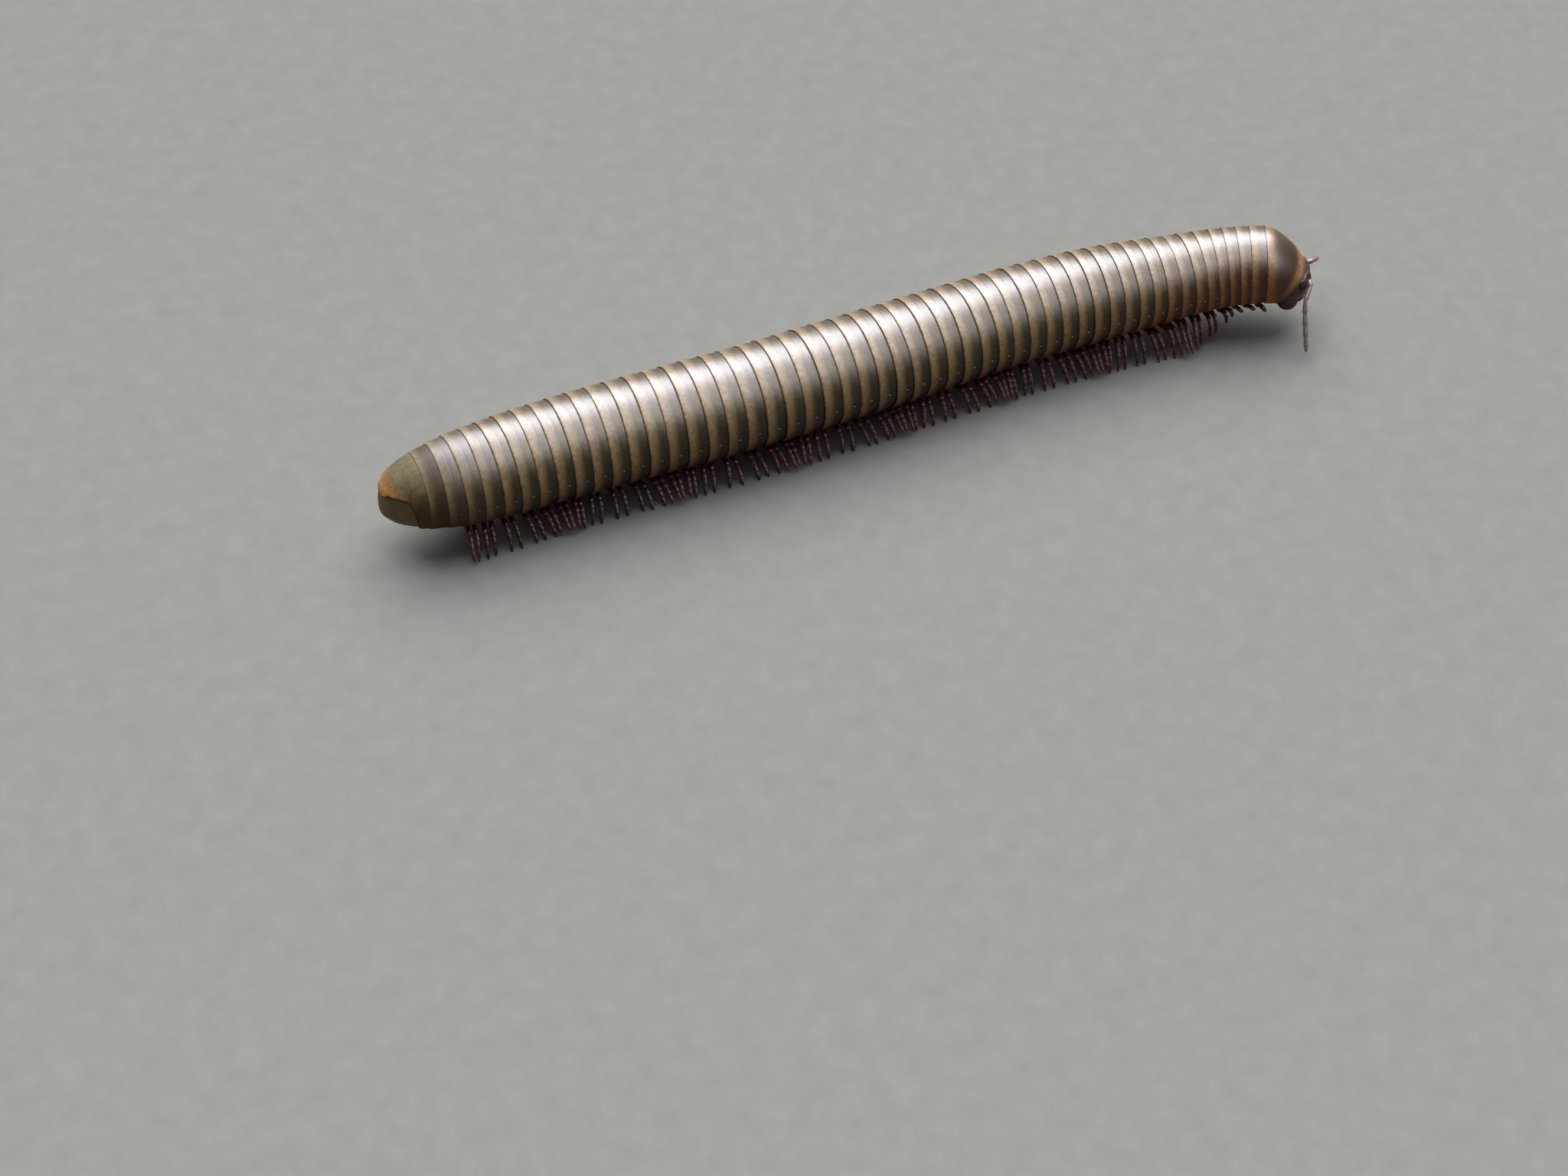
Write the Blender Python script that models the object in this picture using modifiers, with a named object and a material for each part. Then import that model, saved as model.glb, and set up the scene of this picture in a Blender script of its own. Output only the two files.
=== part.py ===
"""A giant millipede at life size, walking: a still model as a museum shows it. Metres, +Z up.

The animal is modelled straight along +X, tail tip at 0, with its axis on the X axis. The rings are
turned, the legs are tapered tubes grown out of them, and a Curve modifier lays each length of the
body on the spine, a guide curve over the floor. The floor is Z = 0, and the head points to +X.
Rings are numbered from the head: ring 1 is the collum, the shield behind the head.
"""

import math

import bmesh
import bpy
from mathutils import Matrix, Vector

MM = 0.001

# Driving sizes, in millimetres
BODY_RADIUS = 4.75
BELLY_HEIGHT = 1.45
AXIS_HEIGHT = BODY_RADIUS + BELLY_HEIGHT
RING_COUNT = 51
FULL_PITCH = 1.87
TELSON_LENGTH = 3.9
GAP = 0.3
SMALL_GAP = 0.15

# How the rings change along the body: (ring, share of the full size)
PITCH_SHARES = ((2, 0.74), (3, 0.63), (4, 0.61), (6, 0.74), (8, 0.78), (12, 0.83), (18, 0.92), (22, 0.94),
                (26, 0.915), (30, 0.975), (38, 0.985), (41, 0.96), (45, 0.91), (48, 0.87), (51, 0.85))
RADIUS_SHARES = ((1, 0.775), (4, 0.79), (7, 0.83), (9.5, 0.88), (14, 0.945), (20, 0.97), (26, 1.0), (36, 1.0),
                 (44, 0.975), (47, 0.938), (49, 0.877), (50, 0.815), (51, 0.735))
# One ring's outline from its hind rim forwards: (share of the pitch, share of the radius)
RING_PROFILE = ((0.0, 1.0), (1.0, 0.955))
RING_SIDES = 20

# Rings in each length of the trunk, from the collum backwards. Two legless rings and the telson follow.
TRUNK_LENGTHS = (8, 6, 6, 6, 6, 6, 6, 4)
LEGLESS_RINGS = 2
SINGLE_PAIR_RINGS = (2, 3, 4)
# The place of each pair on its ring, as a share of the pitch from the hind rim
ONE_PAIR = (0.5,)
TWO_PAIRS = (0.27, 0.66)

# The telson's outline from the tail tip forwards: (distance, radius). Its tip is raised above the axis, and its
# lower half, where the valves are, bulges back.
TELSON_PROFILE = ((0.3, 0.0), (0.4, 1.0), (0.8, 1.74), (1.4, 2.4), (2.3, 2.92), (3.4, 3.34))
TELSON_FRONT = 0.985
TIP_RISE = 0.6
TIP_LENGTH = 2.6
VALVE_BULGE = 0.55
VALVE_MIDDLE = 1.2
# The hood's hind edge runs from its tip to a corner on the side, and down to its foot: (distance, height)
HOOD_TIP = (0.35, 1.4)
HOOD_CORNER = (2.4, 1.6)
HOOD_FOOT = (3.2, -3.0)

# The body's way over the floor: (x, y, height of its axis)
SPINE = ((-44.6, -0.6, AXIS_HEIGHT), (-36.0, -0.45, AXIS_HEIGHT), (-27.0, -0.15, AXIS_HEIGHT),
         (-10.0, -0.25, AXIS_HEIGHT), (1.5, 0.0, AXIS_HEIGHT), (10.9, 0.4, AXIS_HEIGHT),
         (17.5, 0.65, AXIS_HEIGHT), (26.6, 0.45, AXIS_HEIGHT), (33.5, -0.1, AXIS_HEIGHT),
         (37.6, -0.72, AXIS_HEIGHT + 0.22), (40.2, -1.55, AXIS_HEIGHT + 0.48),
         (42.5, -2.5, AXIS_HEIGHT + 0.65), (47.2, -4.5, AXIS_HEIGHT + 0.6))

# The legs step in waves: bunches of lifted legs, one every WAVE_RINGS rings
WAVE_RINGS = 6.0
BUNCH_RING = 7.4
SWING = 0.85
LIFT = 0.8
# A leg's root, hip, knee and foot, as distances sideways from the middle of the belly
LEG_ROOT = 0.85
LEG_HIP = 1.4
LEG_KNEE = 3.1
LEG_REACH = 4.6
LEG_STRETCH = 0.5
LEG_RADII = (0.38, 0.34, 0.28, 0.16)
LEG_SIDES = 5
# How far a leg's root is sunk in the belly, and how far below the belly's middle its hip lies
ROOT_SUNK = 0.9
HIP_DROP = 0.1
# The knee rises with the foot and swings with it by these shares
KNEE_LIFT = 0.3
KNEE_SWING = 0.6
# A leg leaves the floor where the wave is above this height, from -1 to 1
LIFT_ONSET = 0.25
UNDER_FLOOR = 0.3
# The first legs are folded forward and inwards under the belly: (ring, share of the fold)
TUCK = ((2, 1.0), (4, 0.9), (5.2, 0.5), (7, 0.0))
TUCK_LIFT = 1.5
TUCK_FORWARD = 1.1
TUCK_IN = 3.7
TUCK_KNEE = 0.5

# The collum's outline from its hind rim forwards, how far it drops towards its front (in a line, and bent),
# and the slanting plane where it ends
COLLUM_PROFILE = ((0.0, 1.0), (0.4, 0.99), (0.9, 0.96), (1.5, 0.9), (2.1, 0.825), (2.8, 0.73), (3.4, 0.61),
                  (3.8, 0.45), (4.0, 0.25), (4.05, 0.0))
COLLUM_DROP = (0.16, 0.076)
COLLUM_TOP = (3.45, 0.75)
COLLUM_FOOT = (0.6, -3.9)

# The head, in the collum's frame: (forward, sideways, up)
HEAD_CENTRE = (2.35, 0.0, -1.55)
HEAD_RADII = (2.1, 2.5, 2.45)
CHEEK_CENTRE = (2.2, 1.85, -2.7)
CHEEK_RADII = (1.05, 0.8, 1.3)
EYE_CENTRE = (3.62, 1.98, -0.95)
EYE_RADII = (0.5, 0.35, 0.6)
LIP_CENTRE = (3.25, 0.0, -3.45)
LIP_RADII = (0.8, 1.3, 0.75)
MOUTH_PLATE_CENTRE = (1.85, 0.0, -3.95)
MOUTH_PLATE_RADII = (1.3, 1.2, 0.5)

# The antennae: points from the socket outwards, in the collum's frame, and the radius at each
SOCKET_RADIUS = 0.55
ANTENNA_RIGHT = ((4.2, -1.3, -1.0), (4.25, -2.05, -1.3), (3.75, -2.95, -2.0), (3.75, -4.2, -3.8),
                 (3.85, -5.7, -6.05))
ANTENNA_LEFT = ((4.2, 1.3, -1.0), (4.85, 1.6, -1.05), (5.25, 2.5, -1.6), (5.4, 4.2, -3.05), (5.6, 5.8, -4.5))
ANTENNA_RADII = (0.32, 0.25, 0.27, 0.3, 0.2)
ANTENNA_SIDES = 8

# Points closer than this are one point, and the spine has this many points between its stations
WELD = 0.005
SPINE_STEPS = 24


def clear_scene():
    """Empties the scene of whatever it held."""
    for thing in list(bpy.data.objects):
        bpy.data.objects.remove(thing)


def collection(name):
    """A new collection in the scene."""
    made = bpy.data.collections.new(name)
    bpy.context.scene.collection.children.link(made)
    return made


def material(name, colour, roughness):
    """A Principled finish: cuticle is hard, smooth and not metallic."""
    made = bpy.data.materials.new(name)
    made.use_nodes = True
    shader = made.node_tree.nodes["Principled BSDF"]
    shader.inputs["Base Color"].default_value = (*colour, 1.0)
    shader.inputs["Roughness"].default_value = roughness
    shader.inputs["Metallic"].default_value = 0.0
    return made


def smooth_between(stations, value):
    """The value of a smooth curve through (place, value) stations, held level past its ends."""
    if value <= stations[0][0]:
        return stations[0][1]
    if value >= stations[-1][0]:
        return stations[-1][1]
    i = max(k for k in range(len(stations) - 1) if stations[k][0] <= value)

    def slope(k):
        low, high = max(k - 1, 0), min(k + 1, len(stations) - 1)
        return (stations[high][1] - stations[low][1]) / (stations[high][0] - stations[low][0])

    span = stations[i + 1][0] - stations[i][0]
    t = (value - stations[i][0]) / span
    start, end = stations[i][1], stations[i + 1][1]
    return (start * (2 * t**3 - 3 * t**2 + 1) + end * (3 * t**2 - 2 * t**3)
            + span * (slope(i) * (t**3 - 2 * t**2 + t) + slope(i + 1) * (t**3 - t**2)))


def ring_margins():
    """The distance of each ring's hind rim from the tail tip, by ring number."""
    margins = {RING_COUNT: TELSON_LENGTH}
    for ring in range(RING_COUNT, 1, -1):
        margins[ring - 1] = margins[ring] + FULL_PITCH * smooth_between(PITCH_SHARES, ring)
    return margins


MARGIN = ring_margins()


def ring_radius(ring):
    """The radius of a ring's hind rim. A ring number may have a fraction."""
    return BODY_RADIUS * smooth_between(RADIUS_SHARES, ring)


def add_object(name, mesh, home):
    """A new mesh object in a collection."""
    made = bpy.data.objects.new(name, mesh)
    home.objects.link(made)
    return made


def as_mesh(thing):
    """The object's evaluated mesh, its modifiers applied and its loose caps welded."""
    bpy.context.view_layer.update()
    graph = bpy.context.evaluated_depsgraph_get()
    mesh = bpy.data.meshes.new_from_object(thing.evaluated_get(graph), depsgraph=graph)
    shape = bmesh.new()
    shape.from_mesh(mesh)
    bmesh.ops.remove_doubles(shape, verts=shape.verts, dist=WELD * MM)
    bmesh.ops.recalc_face_normals(shape, faces=shape.faces)
    shape.to_mesh(mesh)
    shape.free()
    return mesh


def turned(name, profile, home, sides=RING_SIDES):
    """A solid turned about X from (distance, radius) points in millimetres, closed on the axis."""
    points = [(profile[0][0], 0.0), *profile, (profile[-1][0], 0.0)]
    points = [p for k, p in enumerate(points) if k == 0 or p != points[k - 1]]
    outline = bpy.data.meshes.new(name)
    edges = [(k, k + 1) for k in range(len(points) - 1)]
    outline.from_pydata([(r * MM, 0.0, x * MM) for x, r in points], edges, [])
    made = add_object(name, outline, home)
    screw = made.modifiers.new("Turn", "SCREW")
    screw.steps = screw.render_steps = sides
    screw.use_merge_vertices = True
    screw.merge_threshold = 0.001 * MM
    made.data = as_mesh(made)
    made.modifiers.clear()
    made.data.transform(Matrix.Rotation(math.radians(90), 4, "Y"))
    return made


def ellipsoid(name, centre, radii, home, segments=14, rings=9, grow=0.0):
    """A sphere stretched to three radii in millimetres, its poles up and down."""
    shape = bmesh.new()
    bmesh.ops.create_uvsphere(shape, u_segments=segments, v_segments=rings, radius=1.0)
    bmesh.ops.scale(shape, vec=[(r + grow) * MM for r in radii], verts=shape.verts)
    bmesh.ops.translate(shape, vec=Vector(centre) * MM, verts=shape.verts)
    mesh = bpy.data.meshes.new(name)
    shape.to_mesh(mesh)
    shape.free()
    return add_object(name, mesh, home)


def tube(name, points, radii, home, section):
    """A tapered tube through points in millimetres, its ends capped, as a mesh."""
    line = bpy.data.curves.new(name, "CURVE")
    line.dimensions = "3D"
    line.twist_mode = "MINIMUM"
    line.bevel_mode = "OBJECT"
    line.bevel_object = section
    line.use_fill_caps = True
    path = line.splines.new("POLY")
    path.points.add(len(points) - 1)
    for target, place, radius in zip(path.points, points, radii):
        target.co = (*(Vector(place) * MM), 1.0)
        target.radius = radius
    drawn = bpy.data.objects.new(name, line)
    home.objects.link(drawn)
    mesh = as_mesh(drawn)
    bpy.data.objects.remove(drawn)
    return add_object(name, mesh, home)


def tube_section(name, sides, home):
    """A small polygon, 1 mm in radius, that a tube's curve carries along itself."""
    line = bpy.data.curves.new(name, "CURVE")
    ring = line.splines.new("POLY")
    ring.points.add(sides - 1)
    for k, target in enumerate(ring.points):
        angle = math.tau * k / sides
        target.co = (math.cos(angle) * MM, math.sin(angle) * MM, 0.0, 1.0)
    ring.use_cyclic_u = True
    made = bpy.data.objects.new(name, line)
    made.hide_render = True
    home.objects.link(made)
    return made


def boolean(target, others, operation):
    """Joins the others to the target, or cuts them from it, and removes them."""
    group = bpy.data.collections.new("operands")
    for other in others:
        group.objects.link(other)
    step = target.modifiers.new("Boolean", "BOOLEAN")
    step.operation = operation
    step.operand_type = "COLLECTION"
    step.collection = group
    step.solver = "EXACT"
    target.data = as_mesh(target)
    target.modifiers.clear()
    for other in others:
        bpy.data.objects.remove(other)
    bpy.data.collections.remove(group)
    keep_largest(target.data)


def keep_largest(mesh):
    """Keeps the mesh's largest closed surface, by its number of faces, and drops loose scraps."""
    shape = bmesh.new()
    shape.from_mesh(mesh)
    left, groups = set(shape.faces), []
    while left:
        group, edge = set(), [left.pop()]
        while edge:
            face = edge.pop()
            group.add(face)
            near = {other for corner in face.verts for other in corner.link_faces} & left
            left -= near
            edge.extend(near)
        groups.append(group)
    groups.sort(key=len)
    scraps = [face for group in groups[:-1] for face in group]
    bmesh.ops.delete(shape, geom=scraps, context="FACES")
    shape.to_mesh(mesh)
    shape.free()


def bisect(mesh, point, normal):
    """Cuts the mesh flat at a plane and closes the cut. What lies on the normal's side goes."""
    shape = bmesh.new()
    shape.from_mesh(mesh)
    everything = shape.verts[:] + shape.edges[:] + shape.faces[:]
    cut = bmesh.ops.bisect_plane(shape, geom=everything, dist=1e-7, plane_co=Vector(point) * MM,
                                 plane_no=normal, clear_outer=True)
    rim = [e for e in cut["geom_cut"] if isinstance(e, bmesh.types.BMEdge)]
    bmesh.ops.holes_fill(shape, edges=rim, sides=0)
    bmesh.ops.recalc_face_normals(shape, faces=shape.faces)
    shape.to_mesh(mesh)
    shape.free()


def slant(top, foot):
    """The forward normal of a plane that runs across the body through two (distance, height) points."""
    along = Vector((foot[0] - top[0], 0.0, foot[1] - top[1]))
    return Vector((-along.z, 0.0, along.x)).normalized()


def make_spine(home):
    """The guide curve that the body lies on, and its points in order."""
    line = bpy.data.curves.new("spine", "CURVE")
    line.dimensions = "3D"
    line.twist_mode = "Z_UP"
    line.resolution_u = SPINE_STEPS
    path = line.splines.new("BEZIER")
    path.bezier_points.add(len(SPINE) - 1)
    for target, place in zip(path.bezier_points, SPINE):
        target.co = Vector(place) * MM
        target.handle_left_type = target.handle_right_type = "AUTO"
    made = bpy.data.objects.new("spine", line)
    made.hide_render = True
    home.objects.link(made)
    return made


def lay_on_spine(thing, spine):
    """Bends a straight length of the body onto the spine."""
    bend = thing.modifiers.new("Spine", "CURVE")
    bend.object = spine
    bend.deform_axis = "POS_X"
    thing.data = as_mesh(thing)
    thing.modifiers.clear()


def spine_place(spine, distance):
    """The spine's point and frame at a distance from the tail tip, as a matrix: X forward, Z up."""
    bpy.context.view_layer.update()
    graph = bpy.context.evaluated_depsgraph_get()
    points = [v.co.copy() for v in spine.evaluated_get(graph).to_mesh().vertices]
    left = distance * MM
    for start, end in zip(points, points[1:]):
        step = end - start
        if left <= step.length:
            forward = step.normalized()
            side = Vector((0.0, 0.0, 1.0)).cross(forward).normalized()
            up = forward.cross(side)
            turn = Matrix((forward, side, up)).transposed().to_4x4()
            return Matrix.Translation(start + forward * left) @ turn
        left -= step.length
    raise ValueError("the spine is too short")


def trunk_profile(first, last):
    """The turned outline of some rings, from the last one's hind rim forwards."""
    points = []
    for ring in range(last, first - 1, -1):
        start, end = MARGIN[ring], MARGIN[ring - 1]
        if ring == first:
            end -= GAP
        for share, radius_share in RING_PROFILE:
            points.append((start + share * (end - start), radius_share * ring_radius(ring - share)))
    return points


def leg_points(ring, share, side):
    """A leg's line from inside the belly to its foot. Its share is its place on the ring."""
    pitch = MARGIN[ring - 1] - MARGIN[ring]
    place, belly = MARGIN[ring] + share * pitch, -ring_radius(ring)
    phase = math.tau * (ring - share - BUNCH_RING) / WAVE_RINGS
    tuck = smooth_between(TUCK, ring - share)
    raised = max(0.0, math.cos(phase) - LIFT_ONSET) / (1 - LIFT_ONSET)
    forward = SWING * math.sin(phase) * pitch / FULL_PITCH * (1 - tuck) + TUCK_FORWARD * tuck
    reach = LEG_REACH + LEG_STRETCH * raised - TUCK_IN * tuck
    lift = LIFT * raised * (1 - tuck) + TUCK_LIFT * tuck
    # A foot on the floor runs a little way under it here, and is cut level once the body is laid out
    foot = -AXIS_HEIGHT + (lift if lift > 0 else -UNDER_FLOOR)
    return ((place, side * LEG_ROOT, belly + ROOT_SUNK),
            (place, side * LEG_HIP, belly - HIP_DROP),
            (place + KNEE_SWING * forward, side * (LEG_KNEE - TUCK_KNEE * tuck),
             belly + HIP_DROP + KNEE_LIFT * lift),
            (place + forward, side * reach, foot))


def legs_of(ring, home, section):
    """The legs of one ring, joined to nothing yet: one pair on the first rings, two on the others."""
    shares = ONE_PAIR if ring in SINGLE_PAIR_RINGS else TWO_PAIRS
    slim = math.sqrt(smooth_between(PITCH_SHARES, ring))
    radii = [slim * radius for radius in LEG_RADII]
    return [tube(f"leg_{ring}", leg_points(ring, share, side), radii, home, section)
            for share in shares for side in (-1, 1)]


def make_trunk(home, work, section, spine, finish):
    """The lengths of the trunk, each its rings with their legs grown out of them."""
    first = 2
    for number, count in enumerate(TRUNK_LENGTHS, 1):
        last = first + count - 1
        length = turned(f"trunk_{number}", trunk_profile(first, last), home)
        legs = [leg for ring in range(first, last + 1) for leg in legs_of(ring, work, section)]
        boolean(length, legs, "UNION")
        lay_on_spine(length, spine)
        bisect(length.data, (0.0, 0.0, 0.0), (0.0, 0.0, -1.0))
        length.data.materials.append(finish)
        first = last + 1


def make_tail(home, work, spine, ring_finish, valve_finish):
    """The legless rings, the hood of the telson, and the two valves that close the gut's end."""
    first = RING_COUNT - LEGLESS_RINGS + 1
    rings = turned("tail_rings", trunk_profile(first, RING_COUNT), home)
    outline = [*TELSON_PROFILE, (TELSON_LENGTH - GAP, ring_radius(RING_COUNT) * TELSON_FRONT)]
    hood = turned("telson_hood", outline, home)
    for point in hood.data.vertices:
        near_tip = max(0.0, 1 - point.co.x / (TIP_LENGTH * MM)) ** 2
        below = min(max(-point.co.z / (VALVE_MIDDLE * MM), 0.0), 1.0)
        point.co.x -= VALVE_BULGE * MM * near_tip * below
        point.co.z += TIP_RISE * MM * near_tip * (1 - below)
    pieces = [(rings, ring_finish), (hood, ring_finish)]
    upper, front = slant(HOOD_TIP, HOOD_CORNER), slant(HOOD_CORNER, HOOD_FOOT)
    corner = Vector((HOOD_CORNER[0], 0.0, HOOD_CORNER[1]))
    for name, side in (("anal_valve_right", -1), ("anal_valve_left", 1)):
        valve = add_object(name, hood.data.copy(), home)
        bisect(valve.data, corner - upper * GAP, upper)
        bisect(valve.data, corner - front * GAP, front)
        bisect(valve.data, (0.0, side * GAP / 2, 0.0), (0.0, -side, 0.0))
        pieces.append((valve, valve_finish))
    boolean(hood, [corner_block(work)], "DIFFERENCE")
    for piece, finish in pieces:
        piece.data.materials.append(finish)
        lay_on_spine(piece, spine)


def corner_block(home):
    """A large slanting block that fills the space behind the hood's edge, across the whole body."""
    shape = bmesh.new()
    bmesh.ops.create_cube(shape, size=1.0)
    corner = Vector((HOOD_CORNER[0], 0.0, HOOD_CORNER[1]))
    back = (Vector((HOOD_TIP[0], 0.0, HOOD_TIP[1])) - corner).normalized()
    down = (Vector((HOOD_FOOT[0], 0.0, HOOD_FOOT[1])) - corner).normalized()
    reach = 4 * BODY_RADIUS
    for point in shape.verts:
        along, across, below = point.co + Vector((0.5, 0.0, 0.5))
        point.co = (corner + reach * (along * back + below * down + Vector((0.0, across, 0.0)))) * MM
    mesh = bpy.data.meshes.new("corner_block")
    shape.to_mesh(mesh)
    shape.free()
    return add_object("corner_block", mesh, home)


def mirrored(centre, side):
    """A place on one side of the body: side is 1 for left and -1 for right."""
    return (centre[0], side * centre[1], centre[2])


def make_head(home, work, section, finishes):
    """The collum and the head with its eyes, cheeks, lip, mouth plate and antennae, in one frame."""
    normal = slant(COLLUM_TOP, COLLUM_FOOT)
    top = Vector((COLLUM_TOP[0], 0.0, COLLUM_TOP[1]))
    rim = ring_radius(1)
    collum = turned("collum", [(x, r * rim) for x, r in COLLUM_PROFILE], home)
    for point in collum.data.vertices:
        point.co.z -= point.co.x * (COLLUM_DROP[0] + COLLUM_DROP[1] * point.co.x / MM)
    bisect(collum.data, top - normal * GAP / 2, normal)
    collum.data.materials.append(finishes["ring"])

    head = ellipsoid("head", HEAD_CENTRE, HEAD_RADII, home, segments=20, rings=14)
    boolean(head, [ellipsoid("lip", LIP_CENTRE, LIP_RADII, work, segments=12, rings=8)], "UNION")
    cutters, made = [], [collum, head]
    plate = ellipsoid("mouth_plate", MOUTH_PLATE_CENTRE, MOUTH_PLATE_RADII, home, segments=12, rings=8)
    cutters.append(ellipsoid("cut", MOUTH_PLATE_CENTRE, MOUTH_PLATE_RADII, work, segments=12, rings=8,
                             grow=GAP))
    made.append(plate)
    for word, side in (("right", -1), ("left", 1)):
        cheek = ellipsoid(f"cheek_{word}", mirrored(CHEEK_CENTRE, side), CHEEK_RADII, home)
        cutters.append(ellipsoid("cut", mirrored(CHEEK_CENTRE, side), CHEEK_RADII, work, grow=GAP))
        boolean(cheek, [ellipsoid("cut", MOUTH_PLATE_CENTRE, MOUTH_PLATE_RADII, work, grow=GAP)], "DIFFERENCE")
        eye = ellipsoid(f"eye_{word}", mirrored(EYE_CENTRE, side), EYE_RADII, home, segments=10, rings=7)
        cutters.append(ellipsoid("cut", mirrored(EYE_CENTRE, side), EYE_RADII, work, segments=10, rings=7,
                                 grow=SMALL_GAP))
        eye.data.materials.append(finishes["eye"])
        points = ANTENNA_RIGHT if side < 0 else ANTENNA_LEFT
        antenna = tube(f"antenna_{word}", points, ANTENNA_RADII, home, section)
        antenna.data.materials.append(finishes["leg"])
        cutters.append(ellipsoid("cut", points[0], (SOCKET_RADIUS,) * 3, work, segments=10, rings=7))
        cheek.data.materials.append(finishes["head"])
        made += [cheek, eye, antenna]
    boolean(head, cutters, "DIFFERENCE")
    for piece in (head, plate):
        piece.data.materials.append(finishes["head"])
    for piece in made[1:]:
        if not piece.name.startswith(("antenna", "eye")):
            bisect(piece.data, top + normal * GAP / 2, -normal)
    return made


def centre_on_origin(pieces, root):
    """Moves the whole animal so that the middle of its bounding box stands over the origin."""
    bpy.context.view_layer.update()
    corners = [piece.matrix_world @ v.co for piece in pieces for v in piece.data.vertices]
    root.location = [-(min(c[k] for c in corners) + max(c[k] for c in corners)) / 2 for k in (0, 1)] + [0.0]


def main():
    clear_scene()
    home = collection("millipede")
    work = collection("guides")
    work.hide_render = True
    finishes = {
        "ring": material("ring_cuticle", (0.11, 0.08, 0.05), 0.3),
        "head": material("head_cuticle", (0.14, 0.07, 0.04), 0.35),
        "leg": material("leg_cuticle", (0.2, 0.07, 0.05), 0.35),
        "eye": material("eye_lenses", (0.01, 0.01, 0.01), 0.15),
        "valve": material("valve_cuticle", (0.06, 0.045, 0.03), 0.3),
    }
    spine = make_spine(work)
    leg_section = tube_section("leg_section", LEG_SIDES, work)
    antenna_section = tube_section("antenna_section", ANTENNA_SIDES, work)
    make_trunk(home, work, leg_section, spine, finishes["ring"])
    make_tail(home, work, spine, finishes["ring"], finishes["valve"])
    place = bpy.data.objects.new("collum_place", None)
    home.objects.link(place)
    place.matrix_world = spine_place(spine, MARGIN[1])
    for piece in make_head(home, work, antenna_section, finishes):
        piece.parent = place
    root = bpy.data.objects.new("animal", None)
    home.objects.link(root)
    pieces = [thing for thing in home.objects if thing.type == "MESH"]
    centre_on_origin(pieces, root)
    for thing in home.objects:
        if thing.parent is None and thing is not root:
            thing.parent = root
    bpy.context.view_layer.update()


main()
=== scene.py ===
# %% [markdown]
# # A giant millipede at life size
#
# A millipede is a chain of hard rings. Each ring is a short tube, and its front end slides inside the
# hind end of the ring before it, like a telescope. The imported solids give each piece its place, and this
# script models the pieces again, finer: the rings with their rims and grooves, the jointed legs, the
# shield behind the head, the head itself, and the hood and valves at the tail.

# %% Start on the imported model
import math
import random

import bmesh
import bpy
import numpy as np
from mathutils import Matrix, Vector


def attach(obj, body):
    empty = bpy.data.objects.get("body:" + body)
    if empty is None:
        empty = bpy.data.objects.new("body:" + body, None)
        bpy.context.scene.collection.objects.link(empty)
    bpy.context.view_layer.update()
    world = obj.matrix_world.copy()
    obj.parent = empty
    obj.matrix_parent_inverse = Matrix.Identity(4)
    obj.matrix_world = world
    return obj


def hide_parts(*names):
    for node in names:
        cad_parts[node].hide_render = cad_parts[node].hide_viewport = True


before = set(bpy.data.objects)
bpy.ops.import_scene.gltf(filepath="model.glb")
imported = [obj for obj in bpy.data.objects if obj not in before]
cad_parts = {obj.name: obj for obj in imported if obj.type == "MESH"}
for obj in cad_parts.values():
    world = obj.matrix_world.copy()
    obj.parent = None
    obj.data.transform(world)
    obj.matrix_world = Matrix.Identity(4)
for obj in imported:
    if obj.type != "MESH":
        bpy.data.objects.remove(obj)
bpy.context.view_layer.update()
print("solids", sorted(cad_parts))

# %% [markdown]
# ## The sizes that place everything
#
# The animal is described straight first: a distance from the tail tip along its axis, a step sideways and
# a height over the axis. Only then is it laid on the spine, the curve that it walks on. The sizes are in
# millimetres. Ring 1 is the shield behind the head, and ring 51 is the last one before the tail piece.

# %% Sizes in millimetres
MM = 0.001
BODY_RADIUS = 4.75
AXIS_HEIGHT = 6.2
RING_COUNT = 51
FULL_PITCH = 1.87
TELSON_LENGTH = 3.9
TRUNK_LENGTHS = (8, 6, 6, 6, 6, 6, 6, 4)
LEGLESS_RINGS = 2

# How the rings change along the body: (ring, share of the full size)
PITCH_SHARES = ((2, 0.74), (3, 0.63), (4, 0.61), (6, 0.74), (8, 0.78), (12, 0.83), (18, 0.92), (22, 0.94),
                (26, 0.915), (30, 0.975), (38, 0.985), (41, 0.96), (45, 0.91), (48, 0.87), (51, 0.85))
RADIUS_SHARES = ((1, 0.775), (4, 0.79), (7, 0.83), (9.5, 0.88), (14, 0.945), (20, 0.97), (26, 1.0), (36, 1.0),
                 (44, 0.975), (47, 0.938), (49, 0.877), (50, 0.815), (51, 0.735))

# The body's way over the floor: (x, y, height of its axis)
SPINE = ((-44.6, -0.6, AXIS_HEIGHT), (-36.0, -0.45, AXIS_HEIGHT), (-27.0, -0.15, AXIS_HEIGHT),
         (-10.0, -0.25, AXIS_HEIGHT), (1.5, 0.0, AXIS_HEIGHT), (10.9, 0.4, AXIS_HEIGHT),
         (17.5, 0.65, AXIS_HEIGHT), (26.6, 0.45, AXIS_HEIGHT), (33.5, -0.1, AXIS_HEIGHT),
         (37.6, -0.72, AXIS_HEIGHT + 0.22), (40.2, -1.55, AXIS_HEIGHT + 0.48),
         (42.5, -2.5, AXIS_HEIGHT + 0.65), (47.2, -4.5, AXIS_HEIGHT + 0.6))


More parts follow.
